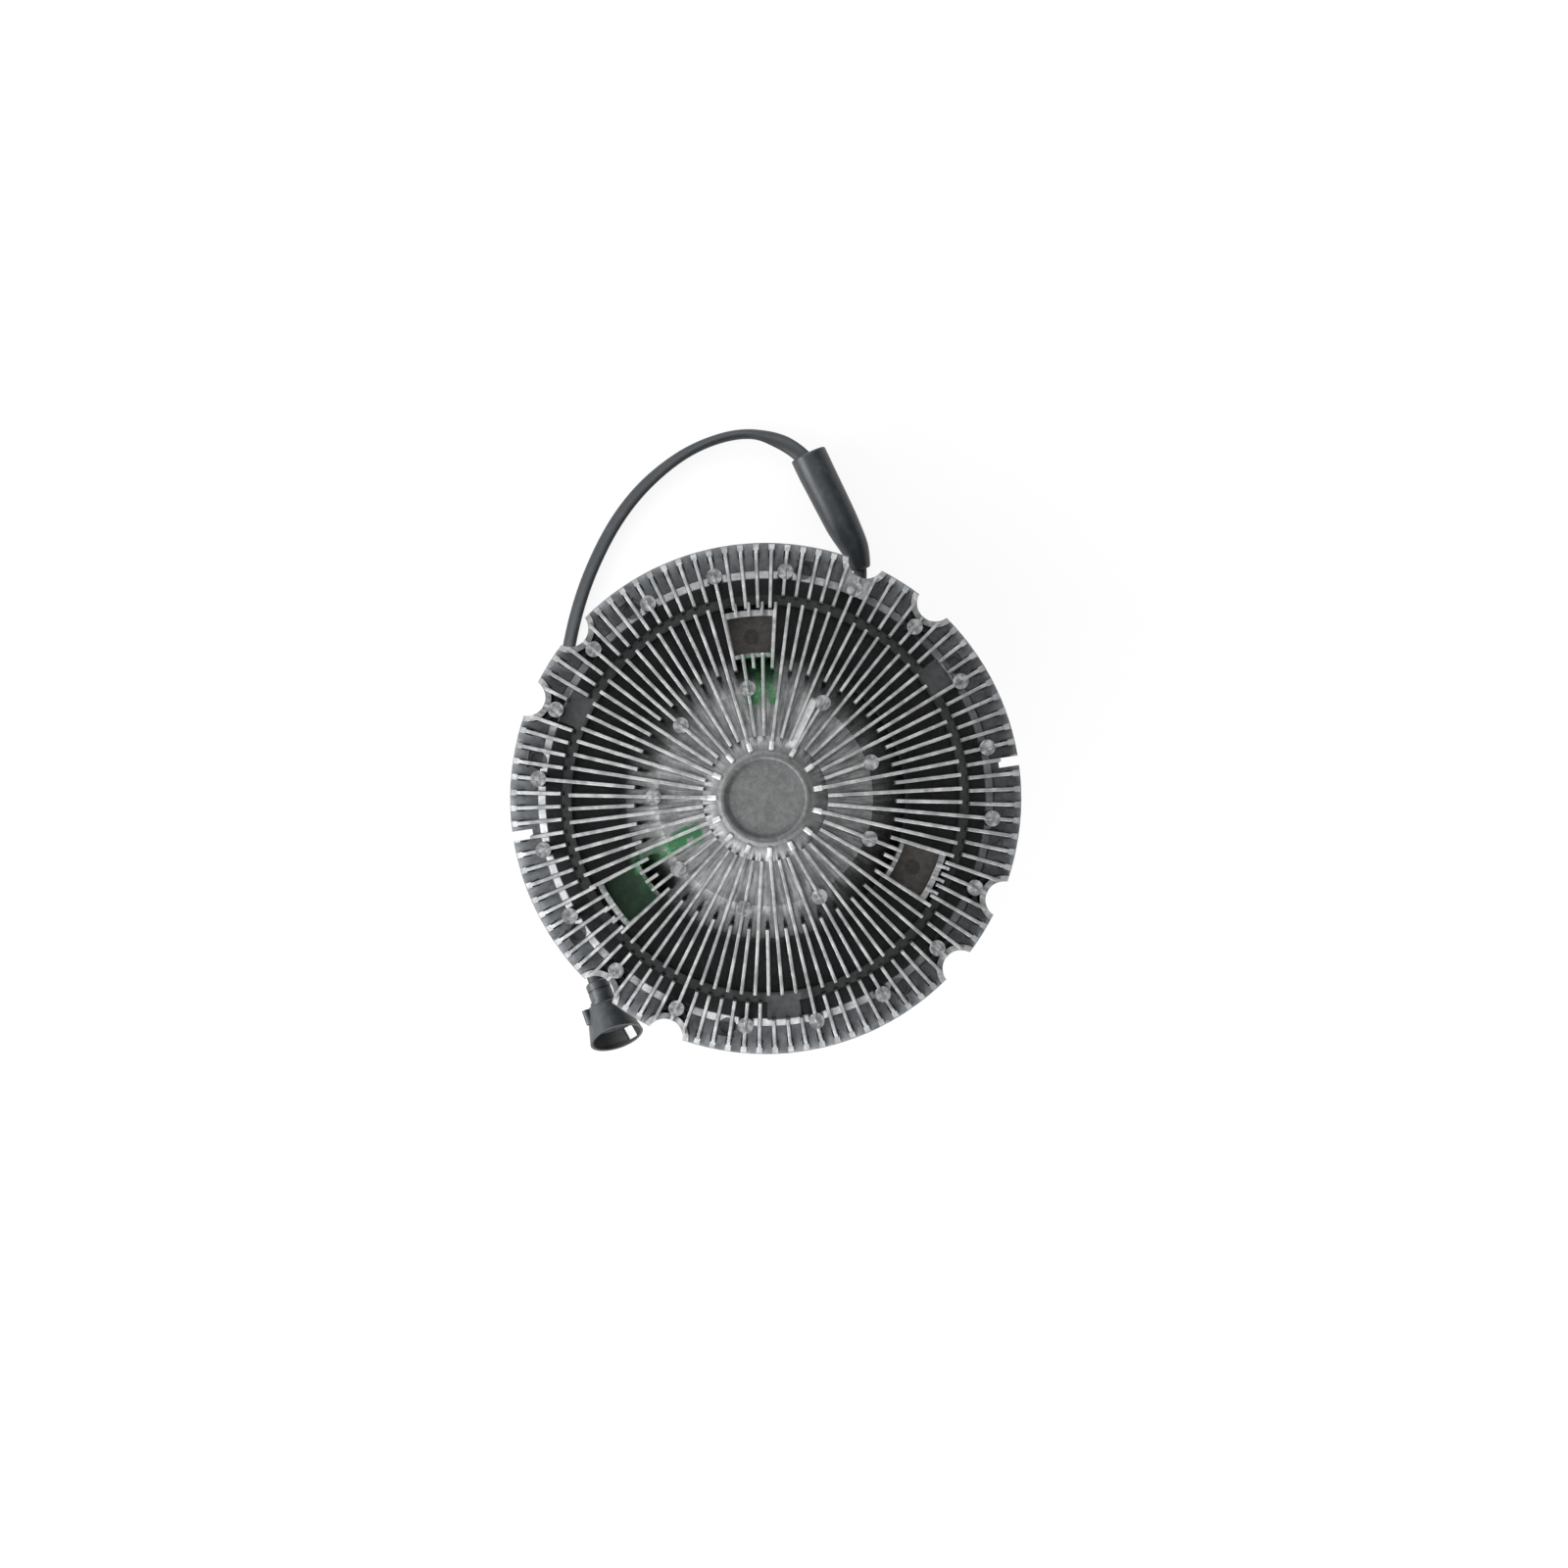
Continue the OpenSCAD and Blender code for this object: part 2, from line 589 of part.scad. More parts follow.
module front_cover() {
    color([0.72, 0.73, 0.75])
        difference() {
            union() {
                difference() {
                    cover_dish();
                    spread(fan_angles, fan_pcr, joint_z + 2)
                        cylinder(h = deep_z - joint_z, r = fan_hole_r + 1.1);
                }
                for (k = [0:inner_fins - 1])
                    inner_fin(k);
                intersection() {
                    union() {
                        for (k = [0:outer_fins - 1])
                            outer_fin(k);
                        spread(notch_angles, rim_r, cover_flange_z - 2)
                            cylinder(h = crest_out_z - cover_flange_z + 0.5, r = notch_r + notch_wall);
                        spread([lug_angle + notch_half], slot_start_r - 9, cover_flange_z - 2)
                            translate([0, -7.5, 0])
                                cube([10, 15, crest_out_z - cover_flange_z + 1]);
                        spread(fan_angles, rim_r - 4, cover_flange_z - 2)
                            translate([-4, -4.5, 0])
                                cube([9, 9, 6]);
                    }
                    rim_envelope();
                }
                spread(boss_angles, outer_boss_pcr, joint_z + 0.5)
                    cylinder(h = crest_out(outer_boss_pcr) - joint_z - 0.8, r = boss_r);
                spread(plate_angles, inner_boss_pcr, reservoir_z1 - 2)
                    cylinder(h = crest_in(inner_boss_pcr) - reservoir_z1 + 1.7, r = boss_r);
                for (a = pocket_angles)
                    pocket_block(a);
                for (a = pad_angles)
                    rotate([0, 0, a - 4.5])
                        rotate_extrude(angle = 9)
                            translate([inner_end_r + 1, deep_z - 2])
                                square([step_r - 0.5 - inner_end_r, gap_ring_h + 1.5]);
                fin(rib_angle, long_start_r - 3, inner_boss_pcr, crest_in(long_start_r - 3) - 1.5,
                    crest_in(inner_boss_pcr) - 1.5, fin_rise, rib_w);
            }
            cover_inside();
            rim_cuts();
            for (a = pocket_angles)
                pocket_hollow(a);
            spread(pocket_angles, mark_pos, deep_z + pocket_floor_h - mark_depth)
                cylinder(h = 2, r = mark_r);
            spread(boss_angles, outer_boss_pcr, joint_z - 1)
                cylinder(h = screw_grip + 1.5, r = screw_r + fit);
            spread(plate_angles, inner_boss_pcr, plate_z1 - 1)
                cylinder(h = 9.5, r = plate_screw_r + fit);
        }
}

// rear fin standing out of the web, crest down
module rear_fin(a) {
    half = fin_crest / 2;
    foot = half + rear_fin_h * tan(fin_draft) + 0.3;
    rotate([0, 0, a])
        translate([tone_r + 2, 0, web_z + 1])
            rotate([90, 0, 90])
                linear_extrude(fan_seat_r - 3 - tone_r - 2)
                    polygon([[-foot, 0], [foot, 0], [half, -rear_fin_h - 1], [-half, -rear_fin_h - 1]]);
}

module rear_housing() {
    ridge_z = land_z0 + groove_depth - rotor_gap;
    color([0.66, 0.67, 0.69])
        difference() {
            union() {
                rotate_extrude()
                    polygon(concat([[main_r - 3, rear_hub_z], [rear_hub_r, rear_hub_z], [rear_hub_r, web_z - 3],
                        [rear_hub_r + 3, web_z], [fan_seat_r - 4, web_z], [fan_seat_r - 4, rear_flange_z - fan_seat_h],
                        [fan_seat_r - 1, rear_flange_z - fan_seat_h], [fan_seat_r, rear_flange_z - fan_seat_h + 1],
                        [fan_seat_r, rear_flange_z], [rim_r, rear_flange_z], [rim_r, joint_z],
                        [chamber_r, joint_z], [chamber_r, chamber_z0]],
                        [for (i = [grooves - 1:-1:0]) let (r = groove_r + groove_pitch * i + rotor_gap) each
                            [[r + ridge_w, chamber_z0], [r + ridge_w, ridge_z], [r, ridge_z], [r, chamber_z0]]],
                        [[main_r + 6, chamber_z0], [main_r + 6, nose_z], [main_r + fit, nose_z],
                            [main_r + fit, main_z1 + snap_t + fit], [main_r + 2, main_z1 + snap_t + fit],
                            [main_r + 2, main_z1 - fit], [main_r + fit, main_z1 - fit],
                            [main_r + fit, main_z0], [main_r - 3, main_z0]]));
                for (k = [0:rear_fins - 1])
                    rear_fin(360 / rear_fins * k);
                spread(boss_angles, outer_boss_pcr, rear_flange_z + 0.5)
                    cylinder(h = rear_flange_t - 1, r = screw_head_r + 2);
                spread(fan_angles, fan_pcr, rear_flange_z + 0.5)
                    cylinder(h = rear_flange_t - 1, r = fan_hole_r + 3);
            }
            rim_cuts();
            tube(pole_in_r, pole_out_r, rear_hub_z - 1, rear_hub_z + pole_depth);
            tube(seal_pcr - seal_r - 0.4, seal_pcr + seal_r + 0.4, joint_z - 2 * seal_r, joint_z + 1);
            spread(fan_angles, fan_pcr, rear_flange_z - fan_seat_h - 1)
                cylinder(h = rear_flange_t + fan_seat_h + 2, r = fan_hole_r);
            spread(boss_angles, outer_boss_pcr, rear_flange_z - fan_seat_h - 1) {
                cylinder(h = rear_flange_t + fan_seat_h + 2, r = screw_r + 0.25);
                cylinder(h = screw_head_h + fan_seat_h + 1.5, r = screw_head_r + 0.3);
            }
        }
}

module cover_seal() {
    color([0.08, 0.08, 0.09])
        rotate_extrude()
            translate([seal_pcr, joint_z - seal_r])
                circle(seal_r - fit, $fn = 24);
}

module cover_screws() {
    color([0.30, 0.31, 0.33])
        spread(boss_angles, outer_boss_pcr, rear_flange_z + 0.5)
            difference() {
                union() {
                    cylinder(h = screw_head_h, r = screw_head_r);
                    cylinder(h = rear_flange_t - 0.5 + screw_grip, r = screw_r);
                }
                translate([0, 0, -1])
                    cylinder(h = 3.5, r = screw_r - 0.2, $fn = 6);
            }
}

module groove_tori(pitch_r, ball_r, heights) {
    for (z = heights)
        rotate_extrude()
            translate([pitch_r, z])
                circle(ball_r + ball_gap, $fn = 40);
}

module main_bearing_outer_race() {
    color([0.75, 0.76, 0.78])
        difference() {
            tube(race_out_r, main_r, main_z0 + fit, main_z1 - 2 * fit);
            groove_tori(main_pitch_r, main_ball_r, row_z);
        }
}

module main_bearing_inner_race() {
    color([0.75, 0.76, 0.78])
        difference() {
            tube(shaft_r + fit, race_in_r, main_z0 + fit, main_z1 - fit);
            groove_tori(main_pitch_r, main_ball_r, row_z);
        }
}

module main_bearing_balls() {
    color([0.82, 0.83, 0.85])
        for (row = [0, 1])
            spread([for (k = [0:main_balls - 1]) 360 / main_balls * (k + row / 2)], main_pitch_r, row_z[row])
                sphere(main_ball_r, $fn = 32);
}

module main_bearing_cage() {
    color([0.60, 0.52, 0.34])
        difference() {
            tube(main_pitch_r - 1.5, main_pitch_r + 1.5, row_z[0] - main_ball_r - 0.6,
                row_z[1] + main_ball_r + 0.6);
            for (row = [0, 1])
                spread([for (k = [0:main_balls - 1]) 360 / main_balls * (k + row / 2)], main_pitch_r - 4, row_z[row])
                    rotate([0, 90, 0])
                        cylinder(h = 8, r = main_ball_r + ball_gap, $fn = 32);
        }
}

module main_bearing_seals() {
    color([0.10, 0.10, 0.11])
        for (z = [main_z0 + 0.1, main_z1 - 0.1 - seal_t])
            tube(race_in_r + run_gap, race_out_r - fit, z, z + seal_t);
}

module main_bearing_snap_ring() {
    color([0.35, 0.35, 0.37])
        difference() {
            tube(main_r - 3, main_r + 2 - fit, main_z1, main_z1 + snap_t);
            translate([main_r - 5, -3, main_z1 - 1])
                cube([10, 6, snap_t + 2]);
        }
}

module pole_ring() {
    color([0.42, 0.43, 0.45])
        tube(pole_in_r + fit, pole_out_r - fit, rear_hub_z, rear_hub_z + pole_depth - fit);
}

module tone_ring() {
    color([0.50, 0.51, 0.53])
        difference() {
            tube(rear_hub_r + fit, tone_r, tone_z, tone_z + tone_h);
            spread([for (k = [0:tone_teeth - 1]) 360 / tone_teeth * k], tone_r - 2, tone_z - 1)
                translate([0, -2.5, 0])
                    cube([4, 5, tone_h + 2]);
        }
}

module reservoir_plate() {
    color([0.62, 0.63, 0.60])
        difference() {
            tube(0, plate_r, plate_z0, plate_z1);
            translate([port_pos, 0, plate_z0 - 1])
                cylinder(h = plate_t + 2, r = port_r);
            spread(plate_angles, inner_boss_pcr, plate_z0 - 1)
                cylinder(h = plate_t + 2, r = plate_screw_r + 0.2);
        }
}

module plate_screws() {
    color([0.45, 0.46, 0.48])
        spread(plate_angles, inner_boss_pcr, plate_z0)
            union() {
                translate([0, 0, -rotor_gap / 2 - 0.1])
                    cylinder(h = rotor_gap / 2 + 0.1, r = plate_head_r);
                cylinder(h = plate_t + 8, r = plate_screw_r);
            }
}

module valve_bracket() {
    color([0.55, 0.56, 0.58])
        difference() {
            union() {
                translate([-pin_pos - 4, -8.5, plate_z1])
                    cube([8, 17, 0.8]);
                for (y = [-8.5, 6.9])
                    translate([-pin_pos - 4, y, plate_z1])
                        cube([8, 1.6, pin_h + pin_r + 1.5]);
            }
            translate([-pin_pos, -10, plate_z1 + pin_h])
                rotate([-90, 0, 0])
                    cylinder(h = 20, r = pin_r + fit, $fn = 24);
        }
}

module valve_pin() {
    color([0.70, 0.71, 0.73])
        translate([-pin_pos, -9.5, plate_z1 + pin_h])
            rotate([-90, 0, 0])
                cylinder(h = 19, r = pin_r, $fn = 24);
}

module valve_lever() {
    color([0.66, 0.62, 0.48])
        difference() {
            union() {
                translate([-pin_pos, -6.2, plate_z1 + pin_h])
                    rotate([-90, 0, 0])
                        cylinder(h = 12.4, r = pin_r + 1.3);
                translate([-pin_pos, -lever_w / 2, plate_z1 + pin_h - lever_t / 2])
                    cube([pin_pos + port_pos, lever_w, lever_t]);
                translate([port_pos, 0, plate_z1 + valve_lift + 0.3])
                    cylinder(h = pin_h - valve_lift - 0.3 + lever_t / 2, r = port_r + 2.2);
            }
            translate([-pin_pos, -10, plate_z1 + pin_h])
                rotate([-90, 0, 0])
                    cylinder(h = 20, r = pin_r + 0.06, $fn = 24);
        }
}

module armature_plate() {
    color([0.40, 0.40, 0.42])
        translate([0, 0, plate_z1 + pin_h - lever_t / 2 - armature_t])
            cylinder(h = armature_t - 0.01, r = armature_r);
}

module valve_spring() {
    lift_z = pin_h - lever_t / 2 - 0.1;
    color([0.70, 0.70, 0.66])
        translate([armature_r + 4, 2, plate_z1])
            rotate([90, 0, 0])
                linear_extrude(4)
                    polygon([[0, 0.02], [8, 0.02], [18, lift_z - 0.3], [20, lift_z - 0.3], [20, lift_z],
                        [17.8, lift_z], [7.8, 0.32], [0, 0.32]]);
}

module drive_shaft() {
    c = steel_chamfer;
    color([0.50, 0.51, 0.54])
        difference() {
            rotate_extrude()
                polygon([[0, pilot_depth], [pilot_r, pilot_depth], [pilot_r, 0], [flange_r - c, 0],
                    [flange_r, c], [flange_r, flange_t - c], [flange_r - c, flange_t], [neck_r + 4, flange_t],
                    [neck_r, flange_t + 3], [neck_r, mag_z0], [shaft_r, mag_z0], [shaft_r, main_z1 - c],
                    [shaft_r - c, main_z1], [rotor_seat_r, main_z1], [rotor_seat_r, hub_z1 - 0.5],
                    [thread_r, hub_z1 - 0.5], [thread_r, nut_z1 - c - 0.2], [thread_r - c, nut_z1 - 0.2],
                    [0, nut_z1 - 0.2]]);
            spread([for (k = [0:flange_holes - 1]) 360 / flange_holes * k], flange_hole_pcr, -1)
                cylinder(h = flange_t + 2, r = flange_hole_r);
        }
}

module rotor_disc() {
    web_z0 = nose_z + rotor_gap;
    color([0.70, 0.70, 0.72])
        difference() {
            rotate_extrude()
                polygon(concat([[rotor_seat_r + fit, main_z1 + fit], [rotor_hub_r - 1, main_z1 + fit],
                    [rotor_hub_r, main_z1 + 1], [rotor_hub_r, web_z0], [land_in_r, web_z0],
                    [land_in_r, land_z0]],
                    [for (i = [0:grooves - 1]) let (r = groove_r + groove_pitch * i) each
                        [[r, land_z0], [r, land_z0 + groove_depth], [r + groove_w, land_z0 + groove_depth],
                            [r + groove_w, land_z0]]],
                    [[land_out_r, land_z0], [land_out_r, land_z1]],
                    [for (i = [grooves - 1:-1:0]) let (r = groove_r + groove_pitch * i) each
                        [[r + groove_w, land_z1], [r + groove_w, land_z1 - groove_depth],
                            [r, land_z1 - groove_depth], [r, land_z1]]],
                    [[land_in_r, land_z1], [land_in_r, hub_z1], [rotor_seat_r + fit, hub_z1]]));
            spread([for (k = [0:relief_holes - 1]) 360 / relief_holes * k], (rotor_hub_r + land_in_r) / 2, main_z1)
                cylinder(h = 40, r = relief_r);
        }
}

module rotor_nut() {
    color([0.45, 0.46, 0.48])
        difference() {
            translate([0, 0, hub_z1 + fit])
                cylinder(h = nut_t - fit, r = nut_flats / sqrt(3), $fn = 6);
            translate([0, 0, hub_z1 - 1])
                cylinder(h = nut_t + 2, r = thread_r + fit);
        }
}

module bearing_spacer() {
    color([0.58, 0.59, 0.61])
        tube(shaft_r + fit, shaft_r + 3.5, mag_z1 + fit, main_z0 - fit);
}

module magnet_bearing_inner_race() {
    color([0.75, 0.76, 0.78])
        difference() {
            tube(shaft_r + fit, mag_race_in_r, mag_z0 + fit, mag_z1 - fit);
            groove_tori(mag_pitch_r, mag_ball_r, [mag_mid_z]);
        }
}

module magnet_bearing_outer_race() {
    color([0.75, 0.76, 0.78])
        difference() {
            tube(mag_race_out_r, mag_r - fit, mag_z0 + fit, mag_z1);
            groove_tori(mag_pitch_r, mag_ball_r, [mag_mid_z]);
        }
}

module magnet_bearing_balls() {
    color([0.82, 0.83, 0.85])
        spread([for (k = [0:mag_balls - 1]) 360 / mag_balls * k], mag_pitch_r, mag_mid_z)
            sphere(mag_ball_r, $fn = 32);
}

module magnet_bearing_cage() {
    color([0.60, 0.52, 0.34])
        difference() {
            tube(mag_pitch_r - 1.2, mag_pitch_r + 1.2, mag_mid_z - mag_ball_r - 0.5, mag_mid_z + mag_ball_r + 0.5);
            spread([for (k = [0:mag_balls - 1]) 360 / mag_balls * k], mag_pitch_r - 4, mag_mid_z)
                rotate([0, 90, 0])
                    cylinder(h = 8, r = mag_ball_r + ball_gap, $fn = 32);
        }
}

module magnet_bearing_seals() {
    color([0.10, 0.10, 0.11])
        for (z = [mag_z0 + 0.1, mag_z1 - 0.1 - seal_t])
            tube(mag_race_in_r + run_gap, mag_race_out_r - fit, z, z + seal_t);
}

module magnet_yoke() {
    color([0.24, 0.25, 0.27])
        difference() {
            rotate_extrude()
                polygon([[mag_r - 2, mag_z0 - 3], [yoke_r - 1, mag_z0 - 3], [yoke_r, mag_z0 - 2], [yoke_r, yoke_z1],
                    [yoke_r - yoke_wall, yoke_z1], [yoke_r - yoke_wall, mag_z0 + 2], [mag_r + yoke_wall, mag_z0 + 2],
                    [mag_r + yoke_wall, yoke_z1], [mag_r, yoke_z1], [mag_r, mag_z0], [mag_r - 2, mag_z0]]);
            translate(polar(yoke_r - yoke_wall - 1, outlet_angle, outlet_z))
                rotate([0, 90, outlet_angle])
                    cylinder(h = yoke_wall + 3, r = 2.5, $fn = 32);
        }
}

module coil_bobbin() {
    r0 = mag_r + yoke_wall + 0.2;
    r1 = yoke_r - yoke_wall - 0.2;
    z0 = mag_z0 + 2 + fit;
    z1 = yoke_z1 - 4;
    color([0.15, 0.15, 0.16])
        rotate_extrude()
            polygon([[r0, z0], [r1, z0], [r1, z0 + bobbin_wall], [r0 + bobbin_wall, z0 + bobbin_wall],
                [r0 + bobbin_wall, z1 - bobbin_wall], [r1, z1 - bobbin_wall], [r1, z1], [r0, z1]]);
}

module coil_winding() {
    color([0.62, 0.34, 0.16])
        tube(mag_r + yoke_wall + 0.2 + bobbin_wall + fit, yoke_r - yoke_wall - 1, mag_z0 + 2 + bobbin_wall + 2 * fit,
            yoke_z1 - 4 - bobbin_wall - fit);
}

module coil_cover() {
    color([0.10, 0.11, 0.12])
        tube(mag_r + yoke_wall + fit, yoke_r - yoke_wall - fit, yoke_z1 - 3.9, yoke_z1 - 0.5);
}

module terminal_block() {
    color([0.09, 0.09, 0.10])
        difference() {
            rotate([0, 0, outlet_angle])
                translate([yoke_r - 6, -block_w / 2, mag_z0])
                    cube([block_out_r - yoke_r + 6, block_w, block_z1 - mag_z0]);
            translate([0, 0, mag_z0 - 1])
                cylinder(h = block_z1 - mag_z0 + 2, r = yoke_r + fit);
        }
}

module speed_sensor() {
    color([0.06, 0.06, 0.07])
        rotate([0, 0, outlet_angle])
            translate([tone_r + sensor_gap, -sensor_w / 2, block_z1 + fit])
                cube([sensor_len, sensor_w, tone_z + tone_h - block_z1]);
}

module strain_relief() {
    tip = cable_r + 1.2;
    step = relief_len / 6;
    color([0.08, 0.08, 0.09])
        translate(polar(block_out_r + fit, outlet_angle, outlet_z))
            rotate([0, 90, outlet_angle])
                rotate_extrude()
                    polygon(concat([[cable_r + 0.15, 0], [relief_root_r, 0], [relief_root_r, step]],
                        [for (i = [1:4]) let (r = relief_root_r + (tip - relief_root_r) * i / 5) each
                            [[r - 0.9, step * i], [r - 0.9, step * i + 1], [r, step * i + 1], [r, step * (i + 1)]]],
                        [[tip, relief_len - step], [tip, relief_len], [cable_r + 0.15, relief_len]]));
}

module cable_lead() {
    root = polar(block_out_r + 0.4, outlet_angle, outlet_z);
    tip = polar(block_out_r + relief_len + 1, outlet_angle, outlet_z);
    beyond = polar(block_out_r + relief_len + 8, outlet_angle, outlet_z);
    narrow = [sleeve_route[0][0], sleeve_route[0][1], sleeve_end_r + 0.1];
    into = unit([-0.25, 0.96, 0.1]);
    route = smooth(concat([root, tip, beyond], lead_route, [narrow, narrow + 5 * into]), 2);
    color([0.11, 0.11, 0.12])
        skin([for (i = [0:len(route) - 1]) [route[i], along(route, i), round_of(cable_r)]], 10);
}

module cable_sleeve() {
    size = [for (p = sleeve_route) sleeve_end_r + (sleeve_r - sleeve_end_r) * p[2]];
    line = [for (i = [0:len(sleeve_route) - 1])
        [sleeve_route[i][0], sleeve_route[i][1], size[i] + 0.1]];
    start = unit(line[1] - line[0]);
    mouth = len(line) - 1;
    finish = unit(line[mouth] - line[mouth - 1]);
    core = round_of(cable_r + 0.8);
    inner = round_of(size[mouth] - 2);
    color([0.10, 0.10, 0.12])
        skin(concat([[line[0] + 7 * start, start, core], [line[0], start, core]],
            [for (i = [0:mouth]) [line[i], along(line, i), round_of(size[i])]],
            [[line[mouth], finish, inner], [line[mouth] - 12 * finish, finish, inner]]), 20);
}

module cable_loop() {
    points = concat([for (p = loop_route) [p[0], p[1], p[2]]],
        [plug_base - 5 * plug_dir, plug_base + 4.5 * plug_dir]);
    turns = concat([for (p = loop_route) p[3]], [0, 0]);
    route = smooth(points, 2);
    turn = smooth(turns, 2);
    color([0.11, 0.11, 0.12])
        skin([for (i = [0:len(route) - 1]) [route[i], along(route, i), [flat_w / 2, flat_t / 2, turn[i]]]], 12);
}

module connector_backshell() {
    color([0.12, 0.12, 0.14])
        on_plug()
            rotate_extrude()
                polygon([[0, 6], [flat_w / 2 + 0.5, 6], [flat_w / 2 + 0.5, 0], [barrel_r - 1, 0], [barrel_r, 1],
                    [barrel_r, 4.5], [barrel_r - 0.9, 4.5], [barrel_r - 0.9, 5.5], [barrel_r, 5.5],
                    [barrel_r, barrel_len - 7], [barrel_r + 1, barrel_len - 7], [barrel_r + 1, barrel_len - 5.4],
                    [barrel_r, barrel_len - 5.4], [barrel_r, barrel_len], [barrel_r - 1.6, barrel_len],
                    [barrel_r - 1.6, barrel_len - 6], [0, barrel_len - 6]]);
}

module connector_body() {
    spigot_r = barrel_r - 1.6 - fit;
    color([0.16, 0.16, 0.18])
        on_plug()
            difference() {
                rotate_extrude()
                    polygon([[0, barrel_len - 6 + fit], [spigot_r, barrel_len - 6 + fit], [spigot_r, barrel_len + fit],
                        [insulator_r, barrel_len + fit], [insulator_r, barrel_len + 4],
                        [insulator_r - 1, barrel_len + 4], [insulator_r - 1, barrel_len + 6],
                        [insulator_r, barrel_len + 6], [insulator_r, barrel_len + insulator_len],
                        [0, barrel_len + insulator_len]]);
                spread([for (k = [0:contact_pins - 1]) 360 / contact_pins * k], insulator_r / 2, barrel_len + 2)
                    cylinder(h = insulator_len, r = contact_r + fit, $fn = 24);
            }
}

module connector_pins() {
    color([0.78, 0.70, 0.45])
        on_plug()
            spread([for (k = [0:contact_pins - 1]) 360 / contact_pins * k], insulator_r / 2, barrel_len + 2 + fit)
                cylinder(h = insulator_len - 2.5, r = contact_r, $fn = 24);
}

module connector_seal() {
    color([0.10, 0.10, 0.11])
        on_plug()
            tube(insulator_r - 1 + fit, insulator_r + 0.5, barrel_len + 4 + fit, barrel_len + 6 - fit);
}

module coupling_ring() {
    collar_r = barrel_r + 3;
    collar_z0 = barrel_len - 5.4 + run_gap;
    inner_r = insulator_r + 0.5 + run_gap;
    color([0.14, 0.14, 0.16])
        on_plug()
            difference() {
                union() {
                    rotate_extrude()
                        polygon([[barrel_r + run_gap, collar_z0], [collar_r, collar_z0],
                            [collar_r + 0.8, collar_z0 + 1], [inner_r + 2, barrel_len + 1],
                            [mouth_r, plug_end_s - rim_band], [mouth_r, plug_end_s],
                            [mouth_r - 1.8, plug_end_s], [mouth_r - 1.8, plug_end_s - rim_band],
                            [inner_r, barrel_len + 1],
                            [inner_r, barrel_len - run_gap], [barrel_r + run_gap, barrel_len - run_gap]]);
                    spread([side_lug_angle], inner_r + side_lug_r + 0.2, collar_z0 + 0.5)
                        cylinder(h = side_lug_len, r = side_lug_r);
                }
                rotate([0, 0, window_angle])
                    translate([insulator_r / 2, -window_w / 2, plug_end_s - window_edge - window_len])
                        cube([mouth_r, window_w, window_len]);
                translate([mouth_r, 0, plug_end_s])
                    rotate([0, -atan(mouth_set / (2 * mouth_r)), 0])
                        translate([-4 * mouth_r, -2 * mouth_r, 0])
                            cube([4 * mouth_r, 4 * mouth_r, flare_len]);
            }
}

front_cover();
rear_housing();
cover_seal();
cover_screws();
main_bearing_outer_race();
main_bearing_snap_ring();
main_bearing_seals();
pole_ring();
tone_ring();
reservoir_plate();
plate_screws();
valve_bracket();
valve_pin();
valve_spring();
valve_lever();
armature_plate();
drive_shaft();
rotor_disc();
rotor_nut();
bearing_spacer();
main_bearing_inner_race();
magnet_bearing_inner_race();
main_bearing_balls();
main_bearing_cage();
magnet_bearing_balls();
magnet_bearing_cage();
magnet_yoke();
coil_bobbin();
coil_winding();
coil_cover();
magnet_bearing_outer_race();
magnet_bearing_seals();
terminal_block();
speed_sensor();
strain_relief();
cable_lead();
cable_sleeve();
cable_loop();
connector_backshell();
connector_body();
connector_pins();
connector_seal();
coupling_ring();
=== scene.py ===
import json
import math

import bmesh
import bpy
from mathutils import Matrix, Vector


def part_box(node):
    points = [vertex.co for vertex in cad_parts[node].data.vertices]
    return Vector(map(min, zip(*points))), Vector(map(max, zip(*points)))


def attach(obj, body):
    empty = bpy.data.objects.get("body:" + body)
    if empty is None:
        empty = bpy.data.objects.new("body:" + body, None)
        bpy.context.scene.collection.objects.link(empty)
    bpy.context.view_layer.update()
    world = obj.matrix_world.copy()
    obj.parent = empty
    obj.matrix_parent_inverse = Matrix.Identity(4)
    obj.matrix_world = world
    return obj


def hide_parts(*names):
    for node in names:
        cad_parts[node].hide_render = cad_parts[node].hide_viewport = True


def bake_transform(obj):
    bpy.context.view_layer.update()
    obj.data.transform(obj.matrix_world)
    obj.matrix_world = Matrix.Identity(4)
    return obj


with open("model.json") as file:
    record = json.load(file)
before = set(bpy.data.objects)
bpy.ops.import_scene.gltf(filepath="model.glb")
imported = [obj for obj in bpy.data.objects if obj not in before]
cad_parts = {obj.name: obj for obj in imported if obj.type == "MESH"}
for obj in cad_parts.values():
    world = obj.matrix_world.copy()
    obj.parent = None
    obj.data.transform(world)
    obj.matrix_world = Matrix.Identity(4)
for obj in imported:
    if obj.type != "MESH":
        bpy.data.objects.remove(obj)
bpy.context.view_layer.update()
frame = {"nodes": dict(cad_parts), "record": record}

scene = bpy.context.scene
nodes = frame["nodes"]
mm = 0.001
print("frame loaded:", len(nodes), "solids")

# camera straight above the finned face, in metres, with the lens in millimetres
shot = {"over": (0.0095, 0.0075), "height": 1.61, "lens": 67.5, "sensor": 36, "reach": 20}
lensData = bpy.data.cameras.new("photoCamera")
lensData.lens = shot["lens"]
lensData.sensor_width = shot["sensor"]
lensData.clip_end = shot["reach"]
photoCamera = bpy.data.objects.new("photoCamera", lensData)
photoCamera.location = (*shot["over"], shot["height"])
scene.collection.objects.link(photoCamera)
scene.camera = photoCamera
scene.view_settings.view_transform = "Standard"


